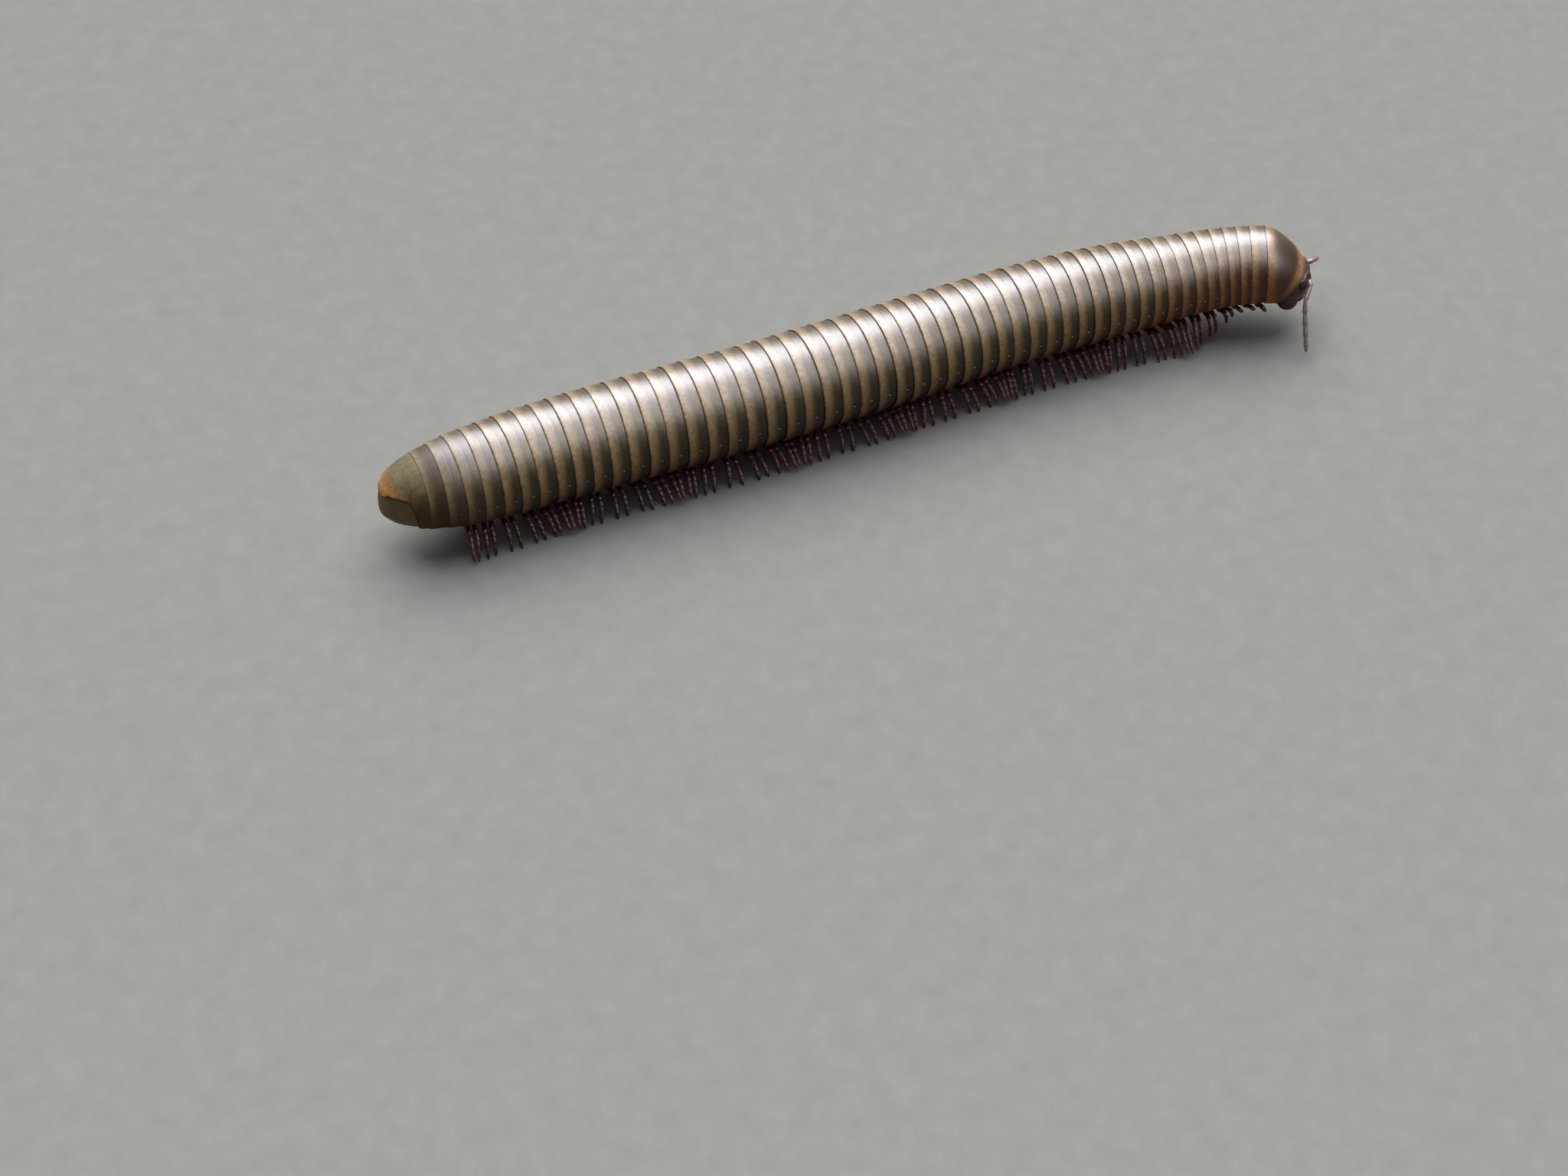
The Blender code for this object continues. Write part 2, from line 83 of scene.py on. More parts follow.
def smooth_between(stations, value):
    """The value of a smooth curve through (place, value) stations, held level past its ends."""
    if value <= stations[0][0]:
        return stations[0][1]
    if value >= stations[-1][0]:
        return stations[-1][1]
    i = max(k for k in range(len(stations) - 1) if stations[k][0] <= value)

    def slope(k):
        low, high = max(k - 1, 0), min(k + 1, len(stations) - 1)
        return (stations[high][1] - stations[low][1]) / (stations[high][0] - stations[low][0])

    span = stations[i + 1][0] - stations[i][0]
    t = (value - stations[i][0]) / span
    start, end = stations[i][1], stations[i + 1][1]
    return (start * (2 * t**3 - 3 * t**2 + 1) + end * (3 * t**2 - 2 * t**3)
            + span * (slope(i) * (t**3 - 2 * t**2 + t) + slope(i + 1) * (t**3 - t**2)))


MARGIN = {RING_COUNT: TELSON_LENGTH}
for ring in range(RING_COUNT, 1, -1):
    MARGIN[ring - 1] = MARGIN[ring] + FULL_PITCH * smooth_between(PITCH_SHARES, ring)


def ring_radius(ring):
    """The radius of a ring's hind rim. A ring number may have a fraction."""
    return BODY_RADIUS * smooth_between(RADIUS_SHARES, ring)


print("from tail tip to the shield's rim", round(MARGIN[1], 2), "mm")

# %% [markdown]
# ## The spine
#
# The spine is a smooth Bezier curve through a few points on the floor plan. It is only a guide: its points
# are read off, and the curve is removed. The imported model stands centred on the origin, so the same shift
# is read from the hind rim of the solid tail rings and added here.

# %% Lay out the spine
SPINE_STEPS = 24
RIM_DEPTH = 0.3
HALF_STRIDE = 0.5


def reach_along(points):
    """How far along a row of points each of them lies."""
    return np.concatenate([[0.0], np.cumsum(np.linalg.norm(np.diff(points, axis=0), axis=1))])


def spine_points():
    """The body's axis as a dense row of points."""
    line = bpy.data.curves.new("spine", "CURVE")
    line.dimensions = "3D"
    line.resolution_u = SPINE_STEPS
    path = line.splines.new("BEZIER")
    path.bezier_points.add(len(SPINE) - 1)
    for target, place in zip(path.bezier_points, SPINE):
        target.co = place
        target.handle_left_type = target.handle_right_type = "AUTO"
    guide = bpy.data.objects.new("spine", line)
    bpy.context.scene.collection.objects.link(guide)
    bpy.context.view_layer.update()
    graph = bpy.context.evaluated_depsgraph_get()
    points = np.array([v.co for v in guide.evaluated_get(graph).to_mesh().vertices])
    bpy.data.objects.remove(guide)
    return points


spine = spine_points()
spine_reach = reach_along(spine)


def spine_at(distance):
    """The point on the body's axis at a distance from the tail tip."""
    return Vector([np.interp(distance, spine_reach, spine[:, k]) for k in range(3)])


tail_solid = np.array([v.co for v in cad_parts["tail_rings"].data.vertices]) / MM
tail_rim = tail_solid[tail_solid[:, 0] < tail_solid[:, 0].min() + RIM_DEPTH]
shift = Vector((tail_rim.min(0) + tail_rim.max(0)) / 2) - spine_at(MARGIN[RING_COUNT])
spine += np.array(shift)


def place_at(distance):
    """A matrix that stands a piece on the axis: X forward, Y to the animal's left, Z up."""
    forward = (spine_at(distance + HALF_STRIDE) - spine_at(distance - HALF_STRIDE)).normalized()
    side = Vector((0, 0, 1)).cross(forward).normalized()
    turn = Matrix((forward, side, forward.cross(side))).transposed().to_4x4()
    return Matrix.Translation(spine_at(distance)) @ turn


print("spine from", spine[0].round(2), "to", spine[-1].round(2))

# %% [markdown]
# ## Helpers for modelling
#
# Every piece starts as a primitive, is shaped in edit mode, and ends as one object at the origin with its
# place in its mesh. These few helpers choose an object, open and close edit mode, apply a modifier, and
# hand a finished piece to the frame.

# %% Modelling helpers
TO_METRES = Matrix.Scale(MM, 4)
SHARP_EDGE = math.radians(50)


def choose(*things):
    """Selects these objects alone. The first one is active."""
    bpy.ops.object.select_all(action="DESELECT")
    for thing in things:
        thing.select_set(True)
    bpy.context.view_layer.objects.active = things[0]


def join(name, *things):
    """Makes one piece of several."""
    choose(*things)
    bpy.ops.object.join()
    made = bpy.context.object
    made.name = name
    return made


def edit(thing, how="VERT"):
    """Opens a piece in edit mode with nothing selected."""
    choose(thing)
    bpy.ops.object.mode_set(mode="EDIT")
    bpy.ops.mesh.select_mode(type=how)
    bpy.ops.mesh.select_all(action="DESELECT")


def leave_edit():
    bpy.ops.object.mode_set(mode="OBJECT")


def apply_modifier(thing, kind, **settings):
    """Adds a modifier with its settings and applies it."""
    choose(thing)
    made = thing.modifiers.new(kind.title(), kind)
    for name, value in settings.items():
        setattr(made, name, value)
    bpy.ops.object.modifier_apply(modifier=made.name)


def round_edges(thing, width):
    """Bevels a piece's sharp edges."""
    apply_modifier(thing, "BEVEL", width=width, segments=3, limit_method="ANGLE", angle_limit=SHARP_EDGE)


def pick(thing, test, what="verts"):
    """In edit mode, selects the vertices or faces whose middle passes a test."""
    shape = bmesh.from_edit_mesh(thing.data)
    for item in getattr(shape, what):
        middle = item.co if what == "verts" else item.calc_center_median()
        item.select_set(bool(test(middle)))
    shape.select_flush_mode()
    bmesh.update_edit_mesh(thing.data)


def tidy_shell(thing, merge=0.001):
    """Merges doubles and turns every face outwards."""
    edit(thing)
    bpy.ops.mesh.select_all(action="SELECT")
    bpy.ops.mesh.remove_doubles(threshold=merge)
    bpy.ops.mesh.normals_make_consistent(inside=False)
    leave_edit()


def turned_shell(name, section, segments):
    """A shell turned about X: a circle is extruded from point to point of its (x, radius) section."""
    x, radius = section[0]
    bpy.ops.mesh.primitive_circle_add(vertices=segments, radius=radius, rotation=(0, math.pi / 2, 0),
                                      location=(x, 0, 0))
    made = bpy.context.object
    made.name = name
    bpy.ops.object.transform_apply(location=True, rotation=True, scale=True)
    edit(made)
    bpy.ops.mesh.select_all(action="SELECT")
    for (x, radius), (next_x, next_radius) in zip(section, section[1:]):
        bpy.ops.mesh.extrude_region_move(TRANSFORM_OT_translate={"value": (next_x - x, 0, 0)})
        bpy.ops.transform.resize(value=(1, next_radius / radius, next_radius / radius),
                                 center_override=(next_x, 0, 0))
    leave_edit()
    return made


def copy_of(pattern, name):
    """A copy with its own mesh."""
    made = pattern.copy()
    made.data = pattern.data.copy()
    made.name = name
    bpy.context.scene.collection.objects.link(made)
    return made


def vertices_of(thing):
    """A piece's vertices as an array."""
    places = np.empty(len(thing.data.vertices) * 3)
    thing.data.vertices.foreach_get("co", places)
    return places.reshape(-1, 3)


def move_vertices(thing, places):
    thing.data.vertices.foreach_set("co", np.asarray(places, dtype=np.float64).ravel())
    thing.data.update()


def paint(thing, name, values):
    """Stores one number for each vertex, for the materials to read."""
    layer = thing.data.attributes.new(name, "FLOAT", "POINT")
    layer.data.foreach_set("value", np.asarray(values, dtype=np.float32))


def finish_piece(thing, nodes, finish, place=None, smooth=35):
    """Stands a piece in its place in metres, gives it its material, and hands it to the frame."""
    thing.data.transform(TO_METRES @ (place or Matrix.Identity(4)))
    choose(thing)
    bpy.ops.object.shade_smooth_by_angle(angle=math.radians(smooth))
    thing.data.materials.clear()
    thing.data.materials.append(finish)
    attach(thing, "root")
    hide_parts(*nodes)
    return thing


# %% [markdown]
# ## Cuticle, the animal's armour
#
# All the hard parts are chitin hardened with lime, as glossy as a polished fingernail. Light enters it a
# little and comes back amber where it is thin, as along each hind rim, and nearly black where it is thick.
# One function adds any node with its settings and links. Colours are written as sRGB hex and made linear.

# %% Material helpers


def colour(text):
    """A linear colour from an sRGB hex value."""
    parts = [int(text[k:k + 2], 16) / 255 for k in (0, 2, 4)]
    return (*[p / 12.92 if p <= 0.04045 else ((p + 0.055) / 1.055) ** 2.4 for p in parts], 1.0)


def node(tree, kind, inputs=(), out=0, stops=(), **settings):
    """Adds a node and gives back one of its outputs. Inputs stand in order, or are named by label or place.
    Each is a value or another node's output. Stops are the places and colours of a colour ramp."""
    made = tree.nodes.new(f"ShaderNode{kind}")
    for name, value in settings.items():
        setattr(made, name, value)
    for name, value in inputs.items() if isinstance(inputs, dict) else enumerate(inputs):
        if isinstance(value, bpy.types.NodeSocket):
            tree.links.new(value, made.inputs[name])
        else:
            made.inputs[name].default_value = value
    for _ in stops[2:]:
        made.color_ramp.elements.new(1.0)
    for k, (place, value) in enumerate(stops):
        made.color_ramp.elements[k].position = place
        made.color_ramp.elements[k].color = colour(value)
    return made.outputs[out] if made.outputs else made


def new_material(name):
    """A material with an empty tree."""
    made = bpy.data.materials.new(name)
    made.use_nodes = True
    made.node_tree.nodes.clear()
    return made, made.node_tree


def end_material(tree, inputs):
    """Ends a material in a Principled shader with these inputs."""
    node(tree, "OutputMaterial", {"Surface": node(tree, "BsdfPrincipled", inputs)})


def numbers_of(tree, *names):
    """The numbers that a piece's vertices carry under these names."""
    return [node(tree, "Attribute", out="Fac", attribute_name=name) for name in names]


def blotches(tree, size, detail=3.0):
    """Noise on the piece's own coordinates, its blotches about as large as size in millimetres."""
    place = node(tree, "TexCoord", out="Object")
    return node(tree, "TexNoise", {"Vector": place, "Scale": 1 / (size * MM), "Detail": detail})


def layered(tree, base, *layers):
    """Lays colours over a base in turn. A layer is its strength, its colour and how it is blended in."""
    for strength, tint, blend in layers:
        base = node(tree, "Mix", {0: strength, 6: base, 7: tint}, out=2, data_type="RGBA", blend_type=blend)
    return base


# %% [markdown]
# ## The ring's finish
#
# Seen from the side, each ring has a tan hind half that ends in a sharp rim and a dark olive front half,
# which sinks into the shade of the ring before it. The pattern follows the ring, so each vertex carries
# numbers for the shader to read: its share of the way from the hind rim forwards, its height from belly to
# back, its turn round the body, and how near the ring is to the front or the rear, where the colours
# change. The margin number draws the orange edges of the shield and the hood.

# %% Ring material
STRIAE = 84
WARM_DEPTH = 1.9
BAND_WOBBLE = 0.14
REAR_NARROWING = 0.2
DULLED = 0.4
STRIA_RELIEF = 0.35

ring_finish, tree = new_material("ring_cuticle_polished_chitin")
height, front, rear, share, margin, dull, turn = numbers_of(
    tree, "height", "front", "rear", "share", "margin", "dull", "turn")
low = node(tree, "Math", (1.0, height), operation="SUBTRACT")
warm = node(tree, "Math", (low, WARM_DEPTH), operation="MULTIPLY", use_clamp=True)
warm = node(tree, "Math", (front, warm), operation="MULTIPLY")

# The tan band's edge wavers a little, and the band is narrower at the rear
wobble = node(tree, "Math", (blotches(tree, 0.7), 0.5), operation="SUBTRACT")
band = node(tree, "Math", (wobble, BAND_WOBBLE, share), operation="MULTIPLY_ADD")
band = node(tree, "Math", (rear, REAR_NARROWING, band), operation="MULTIPLY_ADD")
fade = node(tree, "ValToRGB", (band,), stops=(
    (0.0, "A8A8A8"), (0.06, "F4F4F4"), (0.14, "FFFFFF"), (0.25, "F0F0F0"), (0.42, "B4B4B4"), (0.52, "6C6C6C"),
    (0.64, "2C2C2C"), (0.85, "000000")))

# The band and the dark part each change with height, and are warmer at the front.
# By height both hold painted light: painted shade darkens the belly side, and the upper sides are painted
# lighter.
pale = node(tree, "ValToRGB", (height,), stops=(
    (0.0, "4A2E1A"), (0.3, "7A5430"), (0.45, "9E7C4C"), (0.7, "C7A975"), (0.87, "C8AA7C"), (1.0, "BCA076")))
# On the tail rings, painted shade darkens the band lower down.
rear_band_with_painted_shade = node(tree, "ValToRGB", (height,), stops=((0.45, "46361C"), (0.72, "98885A")))
pale = layered(tree, pale, (warm, colour("AA6430"), "MIX"), (rear, rear_band_with_painted_shade, "MIX"))
deep = node(tree, "ValToRGB", (height,), stops=(
    (0.0, "1A0E06"), (0.3, "24150A"), (0.45, "30200C"), (0.7, "52401F"), (0.87, "6C5A38"), (1.0, "6A5A3C")))
deep = layered(tree, deep, (warm, colour("5A321A"), "MIX"), (rear, colour("584224"), "MIX"))
mottle = node(tree, "ValToRGB", (blotches(tree, 0.35),), stops=((0.3, "B8B0A8"), (0.7, "FFFFFF")))
base = layered(tree, deep, (fade, pale, "MIX"), (margin, colour("E8A458"), "MIX"), (0.8, mottle, "MULTIPLY"))
rough = node(tree, "Math", (blotches(tree, 0.5), 0.1, 0.34), operation="MULTIPLY_ADD")
rough = node(tree, "Math", (dull, DULLED, rough), operation="MULTIPLY_ADD")

# Fine lines run along the animal on its lower sides, about a third of a millimetre apart
lines = node(tree, "Math", (turn, STRIAE * math.pi), operation="MULTIPLY")
lines = node(tree, "Math", (lines,), operation="SINE")
lines = node(tree, "Math", (lines, low), operation="MULTIPLY")
relief = node(tree, "Math", (lines, STRIA_RELIEF, blotches(tree, 0.12, 2.0)), operation="MULTIPLY_ADD")
grain = node(tree, "Bump", {"Height": relief, "Strength": 0.15, "Distance": 0.04 * MM})
end_material(tree, {"Base Color": base, "Roughness": rough, "IOR": 1.5, "Specular IOR Level": 0.22,
                    "Normal": grain})
print("ring finish", len(tree.nodes), "nodes")

# The tail's last pieces are the same cuticle, worn nearly matt
worn_finish = ring_finish.copy()
worn_finish.name = "ring_cuticle_worn_chitin"
worn_finish.node_tree.nodes["Principled BSDF"].inputs["Specular IOR Level"].default_value = 0.1

# %% [markdown]
# ## One ring, modelled once
#
# The pattern ring is a closed shell with one unit of pitch and one unit of radius. Its section runs from
# the hind rim forwards over the raised hind part, down the groove where the front part begins, and back
# along the inside. Rings from the sixth on have a gland pore low on each side, just before the groove.

# %% Pattern ring
RING_SEGMENTS = 96
# Outside from the hind rim forwards, then back along the inside: (share of the pitch, share of the radius)
RING_SECTION = ((0.0, 0.986), (0.004, 0.994), (0.018, 0.999), (0.05, 1.001), (0.15, 1.002), (0.28, 1.001),
                (0.4, 0.998), (0.47, 0.996), (0.5, 0.994), (0.525, 0.992), (0.55, 0.9915), (0.58, 0.991),
                (0.68, 0.989), (0.8, 0.985), (0.92, 0.98), (1.05, 0.972), (1.3, 0.958),
                (1.31, 0.935), (0.8, 0.95), (0.3, 0.96), (0.03, 0.972), (0.0, 0.986))
PORE_SHARE = (0.56, 0.66)
PORE_HEIGHT = -0.06
PORE_OUTSIDE = 0.97
PORE_RIM = 0.016
PORE_SUNK = 0.985


def pattern_ring(name, pores):
    made = turned_shell(name, RING_SECTION, RING_SEGMENTS)
    tidy_shell(made, 0.0001)
    if pores:
        edit(made, "FACE")
        low, high = PORE_SHARE
        reach = math.pi / RING_SEGMENTS
        pick(made, lambda m: low < m.x < high and abs(m.z - PORE_HEIGHT) < reach
             and math.hypot(m.y, m.z) > PORE_OUTSIDE, "faces")
        bpy.ops.mesh.inset(thickness=PORE_RIM)
        bpy.ops.transform.resize(value=(1, PORE_SUNK, 1), center_override=(0, 0, 0))
        leave_edit()
    return made


plain_pattern = pattern_ring("pattern_plain", pores=False)
pore_pattern = pattern_ring("pattern_pores", pores=True)
print("pattern ring", len(pore_pattern.data.polygons), "faces")

# %% [markdown]
# ## All the rings
#
# Each ring is a copy of the pattern with its own mesh, stretched to its own pitch and radius and stood on
# the spine. Real rings are never quite alike, so each is tilted and swollen a little by a seeded draw.

# %% Copy the rings
FIRST_PORE_RING = 6
RING_TILT = 0.5
RING_SWELL = 0.004
RING_STATIONS = (0.0, 0.25, 0.5, 0.75, 1.0, 1.3)
FRONT_SHADES = ((1, 1.0), (6, 0.8), (14, 0.25), (22, 0.0))
REAR_SHADES = ((44, 0.0), (48, 0.25), (50, 0.6), (51, 0.75), (52, 1.0))
REAR_DULLING = ((47, 0.0), (49, 0.2), (51, 0.55))
draw = random.Random(51)


def paint_ring(thing, ring, places, radius, share, margin=0.0, dull=0.0):
    """Gives a ring's vertices the numbers that its material reads."""
    level = np.ones(len(places))
    for name, values in (("share", share), ("margin", level * margin), ("dull", level * dull),
                         ("height", np.clip(places[:, 2] / radius, -1, 1) * 0.5 + 0.5),
                         ("turn", abs(np.arctan2(places[:, 1], places[:, 2])) / math.pi),
                         ("front", level * smooth_between(FRONT_SHADES, ring)),
                         ("rear", level * smooth_between(REAR_SHADES, ring))):
        paint(thing, name, values)


def node_of(ring):
    """The solid that a ring belongs to."""
    last = 1
    for number, count in enumerate(TRUNK_LENGTHS, 1):
        last += count
        if ring <= last:
            return f"trunk_{number}"
    return "tail_rings"


def make_ring(ring):
    pattern = pore_pattern if FIRST_PORE_RING <= ring <= RING_COUNT - 1 else plain_pattern
    made = copy_of(pattern, f"ring_{ring}")
    places = vertices_of(made)
    share = places[:, 0].copy()
    paint_ring(made, ring, places, 1.0, share, dull=smooth_between(REAR_DULLING, ring))
    pitch = MARGIN[ring - 1] - MARGIN[ring]
    swell = 1 + draw.uniform(-RING_SWELL, RING_SWELL)
    radius = np.interp(share, RING_STATIONS, [ring_radius(ring - s) for s in RING_STATIONS]) * swell
    places[:, 0] = (share - 0.5) * pitch
    places[:, 1:] *= radius[:, None]
    move_vertices(made, places)
    tilt = [math.radians(draw.uniform(-RING_TILT, RING_TILT)) for _ in range(2)]
    turn = Matrix.Rotation(tilt[0], 4, "Y") @ Matrix.Rotation(tilt[1], 4, "Z")
    finish = worn_finish if ring == RING_COUNT else ring_finish
    place = place_at(MARGIN[ring] + pitch / 2) @ turn
    return finish_piece(made, [node_of(ring)], finish, place)


rings = [make_ring(ring) for ring in range(2, RING_COUNT + 1)]
for pattern in (plain_pattern, pore_pattern):
    bpy.data.objects.remove(pattern)
print(len(rings), "rings")

# %% [markdown]
# ## The collum, the shield behind the head
#
# The first ring is a smooth shield that covers the back of the head like a helmet's brim. It is turned as a
# dome, cut on a slant where the head comes out, and given a thickness and a rolled edge.

# %% Collum
COLLUM_PROFILE = ((0.0, 1.0), (0.4, 0.99), (0.9, 0.96), (1.5, 0.9), (2.1, 0.825), (2.8, 0.73), (3.4, 0.61),
                  (3.8, 0.45), (4.0, 0.25), (4.05, 0.0))
COLLUM_DROP = (0.16, 0.076)
COLLUM_TOP = (3.45, 0.75)
COLLUM_FOOT = (0.6, -3.9)
COLLUM_STATIONS = 26
COLLUM_WALL = 0.16
COLLUM_BAND = 1.6
COLLUM_DEEPEST = 0.85
COLLUM_MARGIN = 0.75
MARGIN_DROP = 1.5


def slant(top, foot):
    """The forward normal of a plane that runs across the body through two (distance, height) points."""
    along = Vector((foot[0] - top[0], 0.0, foot[1] - top[1]))
    return Vector((-along.z, 0.0, along.x)).normalized()


def before_slant(places):
    """How far points lie behind the shield's slanting front."""
    return (np.array((COLLUM_TOP[0], 0, COLLUM_TOP[1])) - places) @ np.array(slant(COLLUM_TOP, COLLUM_FOOT))


collum_place = place_at(MARGIN[1])
rim = ring_radius(1)
reach = [4.0 * math.sin(math.pi / 2 * k / COLLUM_STATIONS) for k in range(COLLUM_STATIONS + 1)]
dome = [(0.0, rim * 0.985), (0.015, rim * 0.996), (0.06, rim)]
dome += [(x, rim * smooth_between(COLLUM_PROFILE, x)) for x in reach if x > 0.1]
collum = turned_shell("collum_shield", dome, RING_SEGMENTS)
places = vertices_of(collum)
places[:, 2] -= places[:, 0] * (COLLUM_DROP[0] + COLLUM_DROP[1] * places[:, 0])
move_vertices(collum, places)
edit(collum)
bpy.ops.mesh.select_all(action="SELECT")
bpy.ops.mesh.bisect(plane_co=(COLLUM_TOP[0], 0, COLLUM_TOP[1]), plane_no=slant(COLLUM_TOP, COLLUM_FOOT),
                    clear_outer=True)
leave_edit()
tidy_shell(collum)
apply_modifier(collum, "SOLIDIFY", thickness=COLLUM_WALL, offset=-1.0)
round_edges(collum, 0.05)
places = vertices_of(collum)
upper = np.clip((places[:, 2] + MARGIN_DROP) / MARGIN_DROP, 0, 1)
edge = np.clip(1.15 - before_slant(places) / COLLUM_MARGIN, 0, 0.85) * upper
paint_ring(collum, 1, places, rim, np.clip(places[:, 0] / COLLUM_BAND, 0, 1) * COLLUM_DEEPEST, edge)
finish_piece(collum, ["collum"], ring_finish, collum_place)
print("collum", len(collum.data.polygons), "faces")

# %% [markdown]
# ## Limbs that bend at joints
#
# Legs and antennae are rows of short hard tubes, each a little wider at its far end, with a narrow neck
# where the next one plugs in. A straight limb is modelled once along X, one unit for each tube. A copy is
# then laid on its own joints, so that each tube stays straight and the bends fall on the necks.

# %% Jointed limbs
BEND_REACH = 0.16


def straight_limb(name, article, count, tip, segments):
    """A closed straight limb: count like articles along X, the last one shaped by the tip's section."""
    section = [(0.0, article[0][1] * 0.5)]
    for k in range(count - 1):
        section += [(k + x, radius) for x, radius in article]
    section += [(count - 1 + x, radius) for x, radius in tip]
    made = turned_shell(name, section, segments)
    edit(made, "EDGE")
    for end in (0.0, section[-1][0]):
        bpy.ops.mesh.select_all(action="DESELECT")
        pick(made, lambda m: abs(m.x - end) < 0.001)
        bpy.ops.mesh.edge_face_add()
    leave_edit()
    tidy_shell(made, 0.0001)
    return made


def lay_on_joints(limb, joints, radii, across):
    """Moves a straight limb onto its joints. Its cross-sections keep their Y along one direction."""
    places = vertices_of(limb)
    joints = np.array([tuple(j) for j in joints])
    ways = np.diff(joints, axis=0)
    headings = ways / np.linalg.norm(ways, axis=1, keepdims=True)
    last = len(ways) - 1
    k = np.clip(places[:, 0].astype(int), 0, last)
    part = places[:, 0] - k
    ahead = np.clip((part - 1 + BEND_REACH) / (2 * BEND_REACH), 0, 0.5)[:, None]
    behind = np.clip((BEND_REACH - part) / (2 * BEND_REACH), 0, 0.5)[:, None]
    heading = (headings[k] * (1 - ahead - behind) + headings[np.minimum(k + 1, last)] * ahead
               + headings[np.maximum(k - 1, 0)] * behind)
    heading /= np.linalg.norm(heading, axis=1, keepdims=True)
    up = np.cross(heading, np.array(across))
    up /= np.linalg.norm(up, axis=1, keepdims=True)
    side = np.cross(up, heading)
    radius = np.interp(places[:, 0], range(len(radii)), radii)[:, None]
    laid = joints[k] + ways[k] * part[:, None] + radius * (side * places[:, 1:2] + up * places[:, 2:3])
    paint(limb, "joint", part)
    paint(limb, "reach", places[:, 0] / (last + 1))
    move_vertices(limb, laid)


# %% [markdown]
# ## Leg cuticle
#
# The legs are dark wine red, shiny and a little see-through where they are thin. They are paler at the
# joints, where soft skin shows, and the claws are nearly black.

# %% Leg material
leg_finish, tree = new_material("leg_cuticle_glossy_chitin")
joint, reach = numbers_of(tree, "joint", "reach")
base = node(tree, "ValToRGB", (joint,), stops=(
    (0.0, "94523C"), (0.1, "702E24"), (0.3, "5E221B"), (0.8, "6A2A1F"), (0.93, "86432F"), (1.0, "9A5640")))
claw = node(tree, "ValToRGB", (reach,), stops=((0.0, "FFFFFF"), (0.9, "FFFFFF"), (0.96, "3A2A26")))
mottle = node(tree, "ValToRGB", (blotches(tree, 0.2),), stops=((0.3, "BFB4B0"), (0.7, "FFFFFF")))
base = layered(tree, base, (1.0, claw, "MULTIPLY"), (0.7, mottle, "MULTIPLY"))
rough = node(tree, "Math", (blotches(tree, 0.25), 0.15, 0.34), operation="MULTIPLY_ADD")
end_material(tree, {"Base Color": base, "Roughness": rough, "IOR": 1.54, "Specular IOR Level": 0.2,
                    "Subsurface Weight": 0.15, "Subsurface Radius": (0.4 * MM, 0.12 * MM, 0.08 * MM)})
print("leg finish", len(tree.nodes), "nodes")

# %% [markdown]
# ## The legs
#
# From the body outwards a leg has a coxa, a prefemur, a femur, a postfemur, a tibia, a tarsus and one claw.
# Most rings carry two pairs. The legs step in waves that run along the body, with a bunch of lifted legs
# every sixth ring, and the first pairs are folded forward under the raised head.

# %% Leg sizes in millimetres
SINGLE_PAIR_RINGS = (2, 3, 4)
ONE_PAIR = (0.5,)
TWO_PAIRS = (0.27, 0.66)
WAVE_RINGS = 6.0
BUNCH_RING = 7.4
SWING = 0.85
LIFT = 0.8
LEG_ROOT = 0.85
LEG_HIP = 1.4
LEG_KNEE = 3.1
LEG_REACH = 4.6
LEG_STRETCH = 0.5
ROOT_SUNK = 0.9
HIP_DROP = 0.1
KNEE_LIFT = 0.3
KNEE_SWING = 0.6
LIFT_ONSET = 0.25
TUCK = ((2, 1.0), (4, 0.9), (5.2, 0.5), (7, 0.0))
TUCK_LIFT = 1.5
TUCK_FORWARD = 1.1
TUCK_IN = 3.7
TUCK_KNEE = 0.5
LEG_WANDER = 0.1

# The radius at each joint, root to claw tip, and the leg's own section, one unit an article
LEG_RADII = (0.34, 0.32, 0.28, 0.25, 0.22, 0.19, 0.15, 0.09)
LEG_ARTICLE = ((0.03, 0.68), (0.13, 0.9), (0.5, 0.98), (0.85, 1.1), (0.96, 0.84))
CLAW_SECTION = ((0.03, 0.55), (0.2, 0.75), (0.5, 0.55), (0.8, 0.3), (1.0, 0.08))
LEG_SEGMENTS = 8
# Where the joints fall from hip to knee and from knee to foot, and how far they are pushed outwards
UPPER_JOINT = 0.45
UPPER_ARCH = 0.16
LOWER_JOINTS = ((0.26, 0.2), (0.56, 0.16), (0.9, 0.0))
CLAW_TIP = 0.02


def leg_corners(ring, share, side):
    """A leg's root, hip, knee and foot as (distance, sideways, height over the axis)."""
    pitch = MARGIN[ring - 1] - MARGIN[ring]
    place, belly = MARGIN[ring] + share * pitch, -ring_radius(ring)
    phase = math.tau * (ring - share - BUNCH_RING) / WAVE_RINGS
    tuck = smooth_between(TUCK, ring - share)
    raised = max(0.0, math.cos(phase) - LIFT_ONSET) / (1 - LIFT_ONSET)
    forward = SWING * math.sin(phase) * pitch / FULL_PITCH * (1 - tuck) + TUCK_FORWARD * tuck
    reach = LEG_REACH + LEG_STRETCH * raised - TUCK_IN * tuck
    lift = LIFT * raised * (1 - tuck) + TUCK_LIFT * tuck
    return ((place, side * LEG_ROOT, belly + ROOT_SUNK), (place, side * LEG_HIP, belly - HIP_DROP),
            (place + KNEE_SWING * forward, side * (LEG_KNEE - TUCK_KNEE * tuck),
             belly + HIP_DROP + KNEE_LIFT * lift),
            (place + forward, side * reach, lift - AXIS_HEIGHT))


